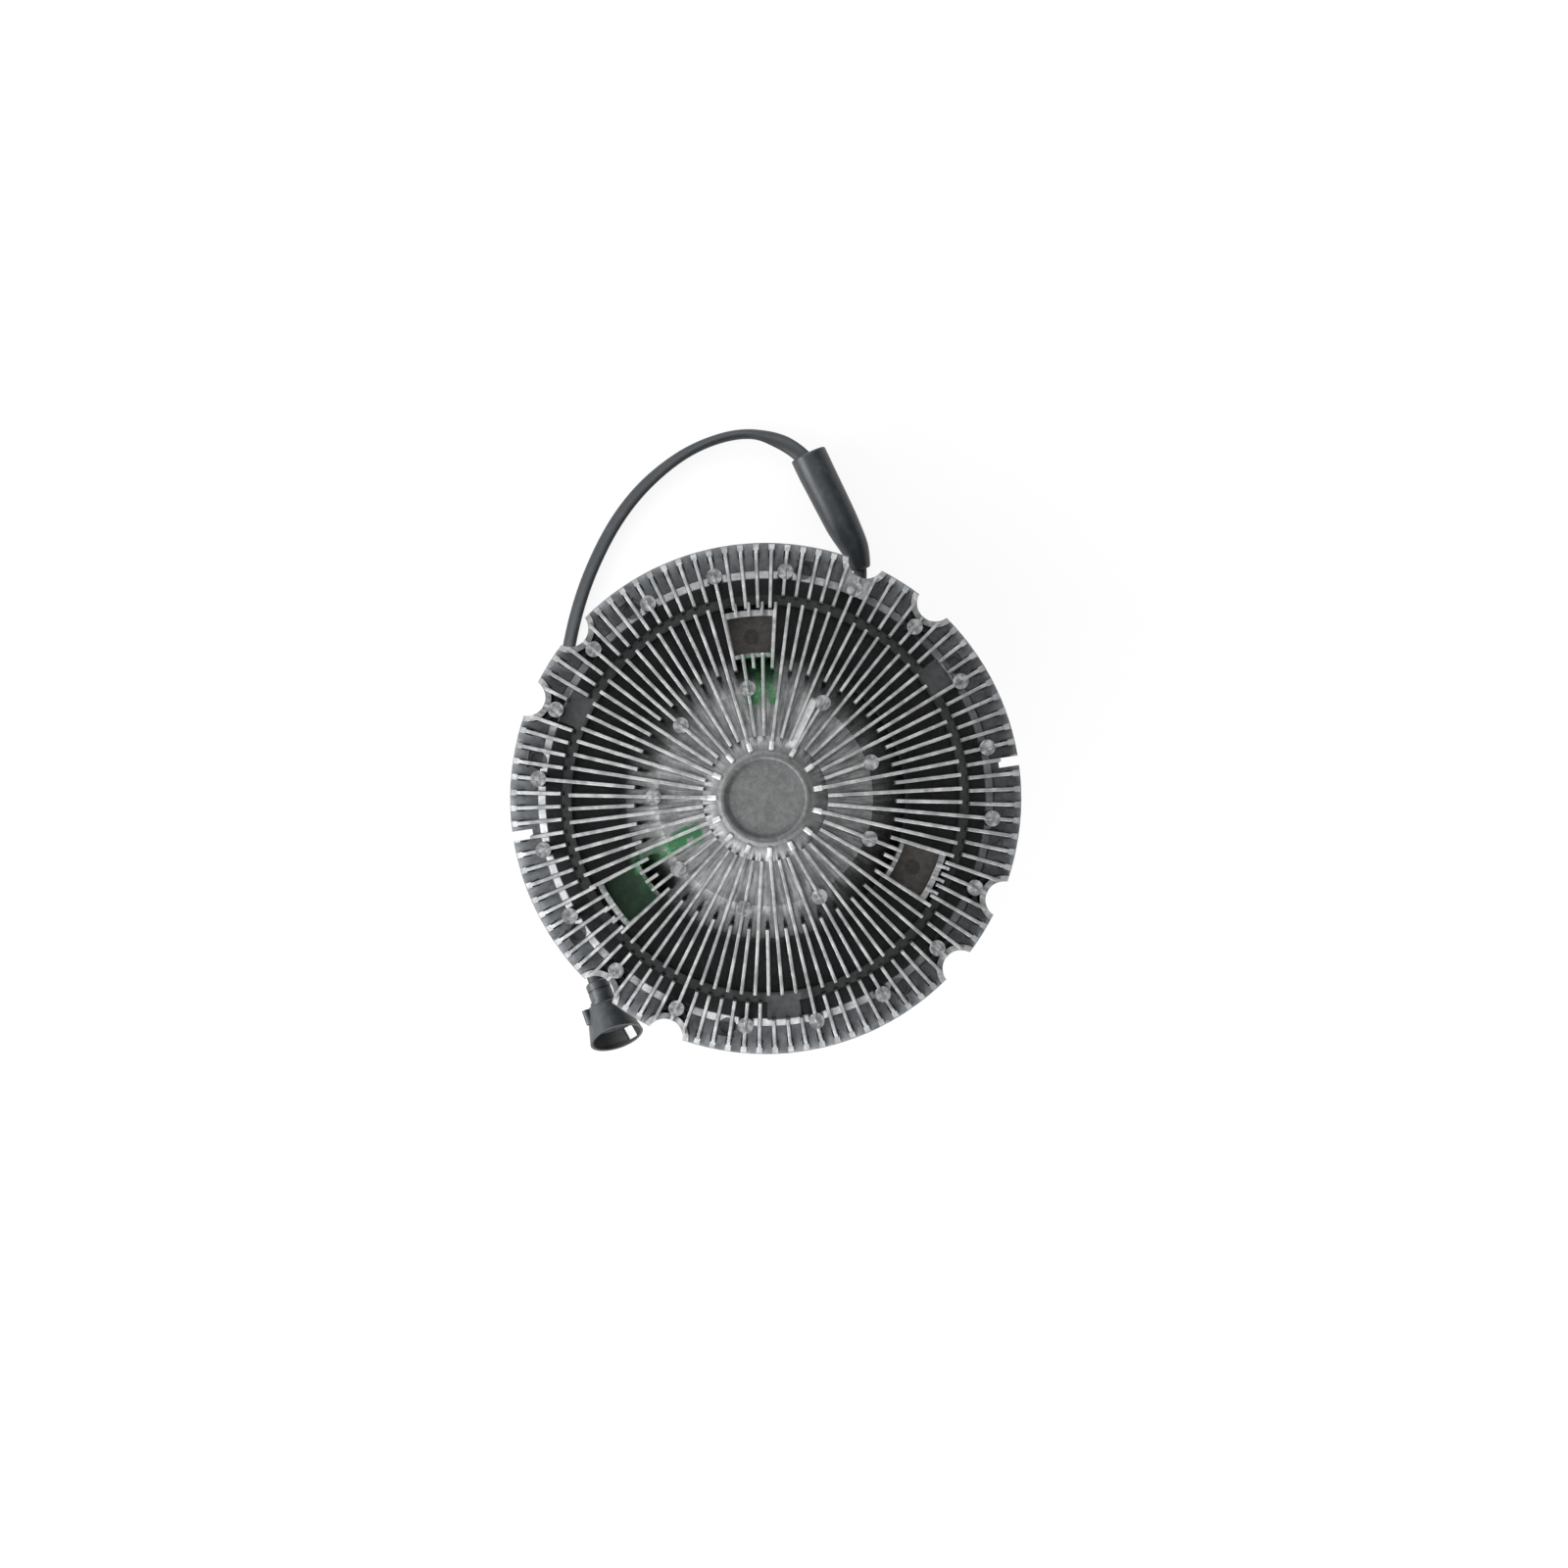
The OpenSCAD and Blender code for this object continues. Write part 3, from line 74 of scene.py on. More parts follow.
# a socket of a finish; sums and products of it become Math nodes
class Wire:
    def __init__(self, tree, socket=None):
        self.tree = tree
        self.socket = socket

    def add(self, kind, settings=None, sockets=None, out=0):
        node = self.tree.nodes.new("ShaderNode" + kind)
        for key, value in (settings or {}).items():
            setattr(node, key, value)
        for key, value in (sockets or {}).items():
            if isinstance(value, Wire):
                self.tree.links.new(value.socket, node.inputs[key])
            else:
                node.inputs[key].default_value = value
        return Wire(self.tree, node.outputs[out] if node.outputs else None)

    def math(self, operation, *values):
        return self.add("Math", {"operation": operation}, dict(enumerate(values)))

    def __add__(self, other):
        return self.math("ADD", self, other)

    def __sub__(self, other):
        return self.math("SUBTRACT", self, other)

    def __rsub__(self, other):
        return self.math("SUBTRACT", other, self)

    def __mul__(self, other):
        return self.math("MULTIPLY", self, other)

    __radd__ = __add__
    __rmul__ = __mul__

    def root(self):
        return self.math("SQRT", self)

    def atLeast(self, other):
        return self.math("MAXIMUM", self, other)

    def atMost(self, other):
        return self.math("MINIMUM", self, other)

    # 0 up to low and 1 from high on, with a soft step between
    def rise(self, low, high):
        return self.add("MapRange", {"interpolation_type": "SMOOTHSTEP"},
                        {"Value": self, "From Min": low, "From Max": high})

    def tint(self, plain, full):
        return self.add("Mix", {"data_type": "RGBA"}, {0: self, 6: plain, 7: full}, out=2)


def grey(level, blue=0.0):
    return (level * (1 - blue), level, level * (1 + blue), 1)


def newFinish(name):
    finish = bpy.data.materials.new(name)
    finish.use_nodes = True
    finish.node_tree.nodes.clear()
    return finish, Wire(finish.node_tree)


def closeFinish(sheet, shader):
    sheet.add("OutputMaterial", {}, {"Surface": shader})


def place(sheet):
    return sheet.add("TexCoord", {}, {}, out="Object")


def split(point):
    node = point.add("SeparateXYZ", {}, {"Vector": point}).socket.node
    return [Wire(point.tree, out) for out in node.outputs]


def inMillimetres(point):
    return [axis * (1 / mm) for axis in split(point)]


def noise(point, scale, detail=4.0, rough=0.55):
    sockets = {"Vector": point, "Scale": scale, "Detail": detail, "Roughness": rough}
    return point.add("TexNoise", {}, sockets)


def stretched(point, scale):
    return point.add("Mapping", {}, {"Vector": point, "Scale": scale})


def bumped(height, strength, depth):
    return height.add("Bump", {}, {"Height": height, "Strength": strength, "Distance": depth})


# cable route over the floor, in millimetres; the lead leaves the magnet at the outlet
outlet = {"angle": 64, "height": 27, "root": 62.4, "tip": 83, "beyond": 90}
leadPoints = [(43.5, 90, 25.2), (46, 95.5, 22.3), (48.2, 101.5, 16.6), (49.8, 107.7, 10.7),
              (50.8, 114, 7.4)]
# a sleeve point ends with its share of the widening
sleevePoints = [(51, 125, 0), (48, 136, 0.45), (42, 147.5, 0.8), (37, 157.5, 0.9), (32, 167.5, 0.95),
                (27, 177.5, 1), (22.5, 187, 1)]
# a loop point ends with the flat cable's turn in degrees
loopPoints = [(24.5, 178, 9, 0), (19.5, 186, 8, 0), (8, 194, 6, 20), (-8, 198.5, 4.6, 75),
              (-26, 196, 4.6, 80), (-46, 187, 4.4, 65), (-66, 171, 4, 50), (-82, 151, 3.9, 45),
              (-95, 126, 3.9, 45), (-104, 100, 3.9, 45), (-110, 70, 3.9, 45), (-114, 35, 3.9, 45),
              (-115, 0, 3.9, 45), (-113, -35, 3.8, 40), (-107, -65, 3.6, 30), (-100, -84, 4.2, 15)]
# the connector rests on its barrel and on the back edge of its mouth's rim
plug = {"start": (-92.7, -100.5), "heading": math.radians(-69), "barrel": 6.5, "mouth": 15, "rimAt": 33,
        "clear": 0.1}
plugTilt = math.atan((plug["mouth"] - plug["barrel"]) / plug["rimAt"])
plugBase = Vector((*plug["start"], plug["barrel"] * math.cos(plugTilt) + plug["clear"]))
plugAim = Vector((math.cos(plugTilt) * math.cos(plug["heading"]),
                  math.cos(plugTilt) * math.sin(plug["heading"]), math.sin(plugTilt)))


# a smooth curve through four points, from the second to the third as t runs from 0 to 1
def bend(a, b, c, d, t):
    return 0.5 * (2 * b + t * (c - a) + t * t * (2 * a - 5 * b + 4 * c - d)
                  + t * t * t * (3 * b - a - 3 * c + d))


def smoothRoute(points, steps):
    line = [Vector(p) for p in points]
    last = len(line) - 1
    route = []
    for i in range(last):
        for k in range(steps):
            route.append(bend(line[max(i - 1, 0)], line[i], line[i + 1], line[min(i + 2, last)], k / steps))
    return [p * mm for p in route + [line[last]]]


def heading(route, i):
    return (route[min(i + 1, len(route) - 1)] - route[max(i - 1, 0)]).normalized()


# places a unit ring across the route, wide along its own side and turned by roll
def station(point, aim, wide, thick, roll=0.0):
    side = Vector((0, 0, 1)).cross(aim).normalized()
    lift = aim.cross(side)
    turn = Matrix((side, lift, aim)).transposed().to_4x4()
    ring = Matrix.Rotation(roll, 4, "Z") @ Matrix.Diagonal((wide, thick, 1, 1))
    return Matrix.Translation(point) @ turn @ ring


def finishMesh(name, bm, sharp=35):
    bmesh.ops.recalc_face_normals(bm, faces=list(bm.faces))
    mesh = bpy.data.meshes.new(name)
    bm.to_mesh(mesh)
    bm.free()
    piece = bpy.data.objects.new(name, mesh)
    scene.collection.objects.link(piece)
    mesh.shade_smooth()
    mesh.set_sharp_from_angle(angle=math.radians(sharp))
    return piece


def sweep(name, stations, sides):
    bm = bmesh.new()
    ring = bmesh.ops.create_circle(bm, cap_ends=True, segments=sides, radius=1)["verts"]
    edges = list(bm.edges)
    bmesh.ops.transform(bm, matrix=stations[0], verts=ring)
    for before, now in zip(stations, stations[1:]):
        made = bmesh.ops.extrude_edge_only(bm, edges=edges)["geom"]
        ring = {g for g in made if isinstance(g, bmesh.types.BMVert)}
        edges = [g for g in made if isinstance(g, bmesh.types.BMEdge) and set(g.verts) <= ring]
        bmesh.ops.transform(bm, matrix=now @ before.inverted(), verts=list(ring))
    bmesh.ops.contextual_create(bm, geom=edges)
    return finishMesh(name, bm)


# the magnet's own lead, round, from the strain relief into the sleeve
leadLook = {"radius": 3.6 * mm, "sides": 20, "steps": 6, "endHeight": 5.9, "overlap": 5,
            "into": (-0.25, 0.96, 0.1)}


def polar(r, angle, z):
    return Vector((r * math.cos(math.radians(angle)), r * math.sin(math.radians(angle)), z))


narrowEnd = Vector((*sleevePoints[0][:2], leadLook["endHeight"]))
leadEnd = narrowEnd + leadLook["overlap"] * Vector(leadLook["into"]).normalized()
leadStart = [polar(outlet[name], outlet["angle"], outlet["height"]) for name in ("root", "tip", "beyond")]
leadRoute = smoothRoute([*leadStart, *leadPoints, narrowEnd, leadEnd], leadLook["steps"])
leadStations = [station(p, heading(leadRoute, i), leadLook["radius"], leadLook["radius"])
                for i, p in enumerate(leadRoute)]
cableLead = sweep("cableLead", leadStations, leadLook["sides"])

# the splice sleeve, a shrunk tube that widens to an open mouth, in millimetres
sleeveLook = {"narrow": 5.8, "wide": 10, "wall": 2, "mouthDepth": 12, "neck": 2, "bore": 4.4, "boreDepth": 7,
              "edgeBack": 0.1, "edgeIn": 0.6, "edgeOn": 0.5, "lip": 0.9, "lipTurn": 30, "clear": 0.1,
              "sides": 40, "steps": 5}


# from the bore at the narrow end over the outside, round the lip and down into the mouth
def sleeveStations():
    look = sleeveLook
    size = [look["narrow"] + (look["wide"] - look["narrow"]) * share for x, y, share in sleevePoints]
    heights = [s + look["clear"] for s in size]
    line = smoothRoute([(x, y, z) for (x, y, share), z in zip(sleevePoints, heights)], look["steps"])
    radii = [v.x for v in smoothRoute([(s, 0, 0) for s in size], look["steps"])]
    first, last = heading(line, 0), heading(line, len(line) - 1)
    lip, bore = look["lip"] * mm, look["bore"] * mm
    inner = radii[-1] - look["wall"] * mm
    rows = [(line[0] + look["boreDepth"] * mm * first, first, bore),
            (line[0], first, bore),
            (line[0] - look["edgeBack"] * mm * first, first, radii[0] - look["edgeIn"] * mm),
            (line[0] + look["edgeOn"] * mm * first, first, radii[0])]
    rows += [(p, heading(line, i), radii[i]) for i, p in enumerate(line) if 0 < i < len(line) - 1]
    for turn in range(0, 181, look["lipTurn"]):
        out, along = math.cos(math.radians(turn)), math.sin(math.radians(turn))
        rows.append((line[-1] + (along - 1) * lip * last, last, radii[-1] + (out - 1) * lip))
    rows += [(line[-1] - look[depth] * mm * last, last, inner) for depth in ("neck", "mouthDepth")]
    return [station(p, aim, r, r) for p, aim, r in rows]


cableSleeve = sweep("cableSleeve", sleeveStations(), sleeveLook["sides"])

# the flat cable of the loop, which twists as it lies and ends in the connector
loopLook = {"wide": 4.4 * mm, "thick": 2.7 * mm, "sides": 24, "steps": 6, "behindPlug": 5, "insidePlug": 4.5}
loopEnds = [plugBase - loopLook["behindPlug"] * plugAim, plugBase + loopLook["insidePlug"] * plugAim]
loopRoute = smoothRoute([p[:3] for p in loopPoints] + loopEnds, loopLook["steps"])
loopTurns = [p[3] for p in loopPoints] + [0, 0]
loopRoll = [v.x / mm for v in smoothRoute([(turn, 0, 0) for turn in loopTurns], loopLook["steps"])]
loopStations = [station(p, heading(loopRoute, i), loopLook["wide"], loopLook["thick"], math.radians(roll))
                for i, (p, roll) in enumerate(zip(loopRoute, loopRoll))]
cableLoop = sweep("cableLoop", loopStations, loopLook["sides"])


def routeLength(route):
    return sum((b - a).length for a, b in zip(route, route[1:]))


for piece, node in ((cableLead, "cable_lead"), (cableSleeve, "cable_sleeve"), (cableLoop, "cable_loop")):
    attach(piece, "magnet")
    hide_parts(node)
routeLength(leadRoute)
routeLength(loopRoute)
print("cords made: lead", round(routeLength(leadRoute), 3), "loop", round(routeLength(loopRoute), 3))

# the valve's leaf spring: its foot stays on the plate and its free end follows the lever
springLook = {"thick": 0.3 * mm, "foot": 7.9 * mm, "free": 17.9 * mm, "segments": 40}
springLow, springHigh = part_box("valve_spring")


def leafSpring():
    look = springLook
    span = springHigh - springLow
    ramp = look["free"] - look["foot"]
    bm = bmesh.new()
    bmesh.ops.create_grid(bm, x_segments=look["segments"], y_segments=2, size=0.5)
    bmesh.ops.translate(bm, vec=(0.5, 0.5, 0), verts=list(bm.verts))
    bmesh.ops.scale(bm, vec=(span.x, span.y, 1), verts=list(bm.verts))
    for v in bm.verts:
        v.co.z = min(max((v.co.x - look["foot"]) / ramp, 0), 1) * (span.z - look["thick"])
    bmesh.ops.solidify(bm, geom=list(bm.faces), thickness=look["thick"])
    lowest = min(v.co.z for v in bm.verts)
    bmesh.ops.translate(bm, vec=springLow - Vector((0, 0, lowest)), verts=list(bm.verts))
    return finishMesh("valveSpring", bm)


valveSpring = leafSpring()
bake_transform(valveSpring)
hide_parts("valve_spring")
print("valve spring made")

# floor, world and lamps, in metres; the lamps look at the middle of the clutch
studio = {"floorSize": 6, "floorDrop": 0.3 * mm, "floorTone": 0.9, "floorGlow": 0.9, "worldFill": 0.6,
          "middle": (0, 0, 0.06)}
floorMesh = bmesh.new()
bmesh.ops.create_grid(floorMesh, x_segments=1, y_segments=1, size=studio["floorSize"] / 2)
bmesh.ops.translate(floorMesh, vec=(0, 0, -studio["floorDrop"]), verts=list(floorMesh.verts))
studioFloor = finishMesh("studioFloor", floorMesh)


# 1 for what the camera sees straight, in a reflection or through glass, and 0 for soft light
def seenDirectly(sheet):
    rays = sheet.add("LightPath").socket.node.outputs
    names = ("Is Camera Ray", "Is Glossy Ray", "Is Transmission Ray")
    camera, glossy, through = (Wire(sheet.tree, rays[name]) for name in names)
    return (camera + glossy + through).atMost(1)


def floorFinish():
    finish, sheet = newFinish("paleFloor")
    matt = sheet.add("BsdfDiffuse", {}, {"Color": grey(studio["floorTone"])})
    glow = sheet.add("Emission", {}, {"Color": grey(1.0)})
    share = seenDirectly(sheet) * studio["floorGlow"]
    closeFinish(sheet, sheet.add("MixShader", {}, {0: share, 1: matt, 2: glow}))
    return finish


studioFloor.data.materials.append(floorFinish())
world = bpy.data.worlds.new("studioWorld")
world.use_nodes = True
world.node_tree.nodes.clear()
sky = Wire(world.node_tree)
direct = seenDirectly(sky)
skyStrength = direct + (1 - direct) * studio["worldFill"]
skyGlow = sky.add("Background", {}, {"Color": grey(1.0), "Strength": skyStrength})
sky.add("OutputWorld", {}, {"Surface": skyGlow})
scene.world = world

# a dark card over the right side, out of the camera's sight, that the metal mirrors
darkCard = {"low": (1.5, 0.35), "high": (0.85, 1.9), "half": 1.5, "tone": 0.03}


def studioCard():
    bm = bmesh.new()
    (lowX, lowZ), (highX, highZ) = darkCard["low"], darkCard["high"]
    corners = [(lowX, -darkCard["half"], lowZ), (lowX, darkCard["half"], lowZ),
               (highX, darkCard["half"], highZ), (highX, -darkCard["half"], highZ)]
    bmesh.ops.contextual_create(bm, geom=[bm.verts.new(corner) for corner in corners])
    card = finishMesh("studioCard", bm)
    finish, sheet = newFinish("darkCard")
    closeFinish(sheet, sheet.add("BsdfDiffuse", {}, {"Color": grey(darkCard["tone"])}))
    card.data.materials.append(finish)
    card.visible_camera = False
    return card


studioCard()
lampPlan = [
    {"name": "leftBox", "at": (-1.25, -0.35, 0.75), "size": (1.4, 0.8), "watts": 30},
    {"name": "topBox", "at": (-0.2, 1.3, 0.8), "size": (1.4, 0.7), "watts": 13},
    {"name": "lowBox", "at": (-0.2, -1.3, 0.8), "size": (1.4, 0.7), "watts": 29},
]
for plan in lampPlan:
    lamp = bpy.data.lights.new(plan["name"], "AREA")
    lamp.shape = "RECTANGLE"
    lamp.size, lamp.size_y = plan["size"]
    lamp.energy = plan["watts"]
    holder = bpy.data.objects.new(plan["name"], lamp)
    holder.location = plan["at"]
    aim = Vector(studio["middle"]) - Vector(plan["at"])
    holder.rotation_euler = aim.to_track_quat("-Z", "Y").to_euler()
    scene.collection.objects.link(holder)
print("studio set")

# heights and radii of the front casting that its finish follows, in millimetres
face = {
    "crestHub": 113.4, "longStart": 32, "innerSlope": 4 / 68.6, "innerEnd": 100.6,
    "crestMid": 109.4, "outerStart": 104.7, "outerSlope": 3 / 23.3, "bevel": 232.4,
    "disc": 18.4, "wall": 21.2, "hubEdge": 22.6, "tipStart": 25.2, "tipEnd": 29.5, "hubCone": 31,
    "step": 113.5, "stepEnd": 117.6,
}
outerBosses = {"r": 116.5, "first": 13, "pitch": 18, "radius": 4}
innerBosses = {"r": 57, "first": 19, "pitch": 40, "radius": 4}
pinMarks = {"r": 83.4, "first": 95, "pitch": 120, "radius": 4}
pockets = {"first": 95, "pitch": 120, "inner": 73, "outer": 94, "half": 11.5}
pads = {"first": 35, "pitch": 120, "inner": 101, "outer": 113.4, "half": 9}
rib = {"first": 63.7, "pitch": 360, "inner": 28, "outer": 56, "half": 2.6}
# depths below the crests and radii over which one tone gives way to the next, in millimetres; on the deeper
# floors the next tone is painted shade
change = {"crest": (0.75, 0.3), "bossTop": (1.6, 1.0), "shadeBelow": (5.0, 6.0), "deepFloor": (7, 16),
          "deepGap": (4.5, 8), "gapFrom": (70, 74), "footEnd": (66, 76), "hubDull": (30, 22), "hubFade": 5}
# half widths of the soft edges, and how far the noise moves a worn edge and the edge of the painted shade on
# the floors, in millimetres
softEdge = {"step": 0.5, "stepEnd": 0.4, "ringGapShade": 0.3, "hub": 0.7, "hubEdge": 0.4, "tip": 0.4,
            "zone": 0.5, "spotOut": 0.1, "spotIn": 0.2}
wearAndShadeEdge = {"crest": 0.3, "floor": 3, "hub": 3}
# noise of the casting: scale, detail and roughness; streak runs along the fins
frontNoise = {"fine": (1400, 5), "broad": (120, 3), "patch": (380, 4), "ragged": (210, 6, 0.7),
              "streak": (1.0, 5, 0.6)}
streakPull = {"turn": 26, "r": 0.07, "z": 0.05}
# noise levels between which the second tone takes over
takeOver = {"rim": (0.35, 0.65), "cast": (0.25, 0.8), "crest": (0.38, 0.62), "boss": (0.4, 0.62),
            "mottle": (0.28, 0.72)}
mottleTone = {"least": 0.65, "range": 0.5}
frontGloss = {"crest": 0.36, "cast": 0.2, "hub": 0.4, "fine": 0.25, "broad": 0.15, "least": 0.2,
              "bump": 0.55, "bumpDepth": 0.25 * mm, "crestSmooth": 0.8}
# front casting: pale turned crests, cast floors with painted shade that darkens with depth, a painted
# highlight on the step near the rim, and the green paint
frontLook = {
    "crest": grey(0.49, 0.01), "crestDull": grey(0.36, 0.02), "tip": grey(0.62, 0.01),
    "rib": grey(0.52, 0.01), "boss": grey(0.36, 0.02), "bossDull": grey(0.20, 0.02),
    # painted shade for the floors between the fins: the deep tone here, and the lighter foot tone on the next
    # line
    "cast": grey(0.42, 0.01), "castDull": grey(0.14, 0.02), "deep": grey(0.065, 0.03),
    # painted shade also on the floors of the ring gap, the pads and the pockets
    "foot": grey(0.26, 0.02), "ringGapShade": grey(0.075, 0.02), "rim": grey(0.33, 0.05),
    # painted highlight: the step tone brightens the sloped step near the rim
    "rimDull": grey(0.22, 0.05), "step": grey(0.58, 0.02), "padShade": grey(0.105, 0.02),
    "disc": grey(0.23, 0.01), "wall": grey(0.17, 0.02), "hubCone": grey(0.20, 0.01),
    "hubEdge": grey(0.15, 0.01), "pocket": (0.105, 0.098, 0.092, 1), "pinMark": (0.075, 0.068, 0.064, 1),
    "paintDark": (0.005, 0.032, 0.012, 1), "paintDeep": (0.011, 0.070, 0.026, 1),
    "paintGreen": (0.025, 0.15, 0.055, 1), "paintPale": (0.17, 0.34, 0.20, 1),
}
# each mark's angle, reach along the radius, half width, how ragged it is and its colour
frontPaint = [
    {"angle": 215, "inner": 73, "outer": 94, "half": 11.5, "ragged": (0.25, 0.32), "tone": "paintDark"},
    {"angle": 215, "inner": 74, "outer": 93, "half": 10.5, "ragged": (0.42, 0.66), "tone": "paintDeep"},
    {"angle": 207, "inner": 36, "outer": 76, "half": 5.0, "ragged": (0.36, 0.54), "tone": "paintGreen"},
    {"angle": 207, "inner": 58, "outer": 77, "half": 5.0, "ragged": (0.42, 0.60), "tone": "paintPale"},
    {"angle": 92.4, "inner": 48, "outer": 74, "half": 8.0, "ragged": (0.38, 0.54), "tone": "paintGreen"},
    {"angle": 92.4, "inner": 52, "outer": 74, "half": 7.5, "ragged": (0.48, 0.64), "tone": "paintPale"},
]
# how far the paint's edge wanders along and across the radius, how soft it is, and how bare the crests are
paintEdge = {"along": 14, "across": 9, "softAlong": 1.5, "softAcross": 1.2, "bareCrest": 0.9}


def between(value, low, high, edge):
    return value.rise(low - edge, low + edge) * value.rise(high + edge, high - edge)


# distance round the axis from the nearest of the evenly spaced places
def offPlace(r, turn, ring):
    half = math.radians(ring["pitch"] / 2)
    off = turn - math.radians(ring["first"])
    return r * off.math("WRAP", off, half, -half)


def roundSpot(r, turn, ring):
    across, away = offPlace(r, turn, ring), r - ring["r"]
    apart = (across * across + away * away).root()
    return apart.rise(ring["radius"] + softEdge["spotOut"], ring["radius"] - softEdge["spotIn"])


def zone(r, turn, ring):
    off = offPlace(r, turn, ring)
    along = between(r, ring["inner"], ring["outer"], softEdge["zone"])
    return along * between(off, -ring["half"], ring["half"], softEdge["zone"])


def paintMark(x, y, ragged, mark):
    c, s = math.cos(math.radians(mark["angle"])), math.sin(math.radians(mark["angle"]))
    along = x * c + y * s + (ragged - 0.5) * paintEdge["along"]
    across = y * c - x * s + (ragged - 0.5) * paintEdge["across"]
    inReach = between(along, mark["inner"], mark["outer"], paintEdge["softAlong"])
    inWidth = between(across, -mark["half"], mark["half"], paintEdge["softAcross"])
    return inReach * inWidth * ragged.rise(*mark["ragged"])


# depth below the crests, which fall from the hub to the rim and end in a bevel
def crestDepth(r, z):
    crestIn = face["crestHub"] - (r - face["longStart"]) * face["innerSlope"]
    crestOut = face["crestMid"] - (r - face["outerStart"]) * face["outerSlope"]
    return crestIn.atMost(crestOut).atMost(face["bevel"] - r) - z


# fin sides and floors, with a painted highlight on the step near the rim, painted shade that deepens with
# depth on the floors, the ring gap, pockets and pads, and the rib
def castTone(r, turn, depth, broad, streak):
    look = frontLook
    # painted shade on the floors between the fins, set by depth below the crests: lighter near the hub,
    # darkest further out
    uneven = depth + (broad - 0.5) * wearAndShadeEdge["floor"]
    deepGap = uneven.rise(*change["deepGap"]) * r.rise(*change["gapFrom"])
    deep = uneven.rise(*change["deepFloor"]).atLeast(deepGap)
    # painted highlight on the sloped step near the rim, between these two radii
    outside = r.rise(face["step"] - softEdge["step"], face["step"] + softEdge["step"])
    inside = r.rise(face["stepEnd"] + softEdge["stepEnd"], face["stepEnd"] - softEdge["stepEnd"])
    gapShade = r.rise(*change["footEnd"]).tint(look["foot"], look["deep"])
    rimTone = (streak * 0.6 + broad * 0.4).rise(*takeOver["rim"]).tint(look["rimDull"], look["rim"])
    floorTone = outside.tint(gapShade, (outside * inside).tint(rimTone, look["step"]))
    colour = deep.tint(streak.rise(*takeOver["cast"]).tint(look["castDull"], look["cast"]), floorTone)
    # painted shade on the floors of the ring gap, the pockets and the pads, where they lie below the crests
    shadeBelow = depth.rise(*change["shadeBelow"])
    ringGapShade = between(r, face["innerEnd"], face["outerStart"], softEdge["ringGapShade"])
    colour = (ringGapShade * shadeBelow).tint(colour, look["ringGapShade"])
    pocketTone = roundSpot(r, turn, pinMarks).tint(look["pocket"], look["pinMark"])
    colour = (zone(r, turn, pockets) * shadeBelow).tint(colour, pocketTone)
    colour = (zone(r, turn, pads) * shadeBelow).tint(colour, look["padShade"])
    return zone(r, turn, rib).tint(colour, look["rib"])


def hubTone(r, patch):
    look = frontLook
    edge = r + (patch - 0.5) * wearAndShadeEdge["hub"]
    onDisc = edge.rise(face["disc"] + softEdge["hub"], face["disc"] - softEdge["hub"])
    onCone = edge.rise(face["wall"] - softEdge["hub"], face["wall"] + softEdge["hub"])
    hub = onCone.tint(onDisc.tint(look["wall"], look["disc"]), look["hubCone"])
    return between(r, face["wall"], face["hubEdge"], softEdge["hubEdge"]).tint(hub, look["hubEdge"])


# crests, bosses, the hub and the bright ends of the fins that climb it
def turnedTone(colour, crest, r, turn, depth, broad, patch):
    look = frontLook
    colour = crest.tint(colour, broad.rise(*takeOver["crest"]).tint(look["crestDull"], look["crest"]))
    bosses = roundSpot(r, turn, outerBosses).atLeast(roundSpot(r, turn, innerBosses))
    bossTone = patch.rise(*takeOver["boss"]).tint(look["bossDull"], look["boss"])
    colour = (bosses * depth.rise(*change["bossTop"])).tint(colour, bossTone)
    onHub = r.rise(face["hubCone"], face["hubCone"] - change["hubFade"])
    colour = onHub.tint(colour, hubTone(r, patch))
    tips = crest * between(r, face["tipStart"], face["tipEnd"], softEdge["tip"])
    return tips.tint(colour, look["tip"])


def frontFinish():
    finish, sheet = newFinish("castAluminiumFront")
    at = place(sheet)
    x, y, z = inMillimetres(at)
    r = (x * x + y * y).root()
    turn = y.math("ARCTAN2", y, x)
    depth = crestDepth(r, z)
    names = ("fine", "broad", "patch", "ragged")
    fine, broad, patch, ragged = (noise(at, *frontNoise[name]) for name in names)
    pulled = {"X": turn * streakPull["turn"], "Y": r * streakPull["r"], "Z": z * streakPull["z"]}
    streak = noise(r.add("CombineXYZ", {}, pulled), *frontNoise["streak"])
    crest = (depth + (patch - 0.5) * wearAndShadeEdge["crest"]).rise(*change["crest"])
    colour = castTone(r, turn, depth, broad, streak)
    colour = turnedTone(colour, crest, r, turn, depth, broad, patch)
    mottle = (patch * 0.45 + broad * 0.3 + streak * 0.25).rise(*takeOver["mottle"])
    mottle = mottle * mottleTone["range"] + mottleTone["least"]
    colour = colour.add("Mix", {"data_type": "RGBA", "blend_type": "MULTIPLY"},
                        {0: 1.0, 6: colour, 7: mottle}, out=2)
    painted = None
    for mark in frontPaint:
        cover = paintMark(x, y, ragged, mark) * (1 - crest * paintEdge["bareCrest"])
        colour = cover.tint(colour, frontLook[mark["tone"]])
        painted = cover if painted is None else painted.atLeast(cover)
    look = frontGloss
    gloss = look["crest"] + look["cast"] * (1 - crest) + look["hub"] * r.rise(*change["hubDull"])
    gloss = gloss + (fine - 0.5) * look["fine"] + (broad - 0.5) * look["broad"]
    grain = (fine * 0.6 + patch * 0.4) * (1 - crest * look["crestSmooth"])
    shader = sheet.add("BsdfPrincipled", {}, {
        "Base Color": colour, "Metallic": 1 - painted, "Roughness": gloss.atLeast(look["least"]),
        "Normal": bumped(grain, look["bump"], look["bumpDepth"])})
    closeFinish(sheet, shader)
    return finish


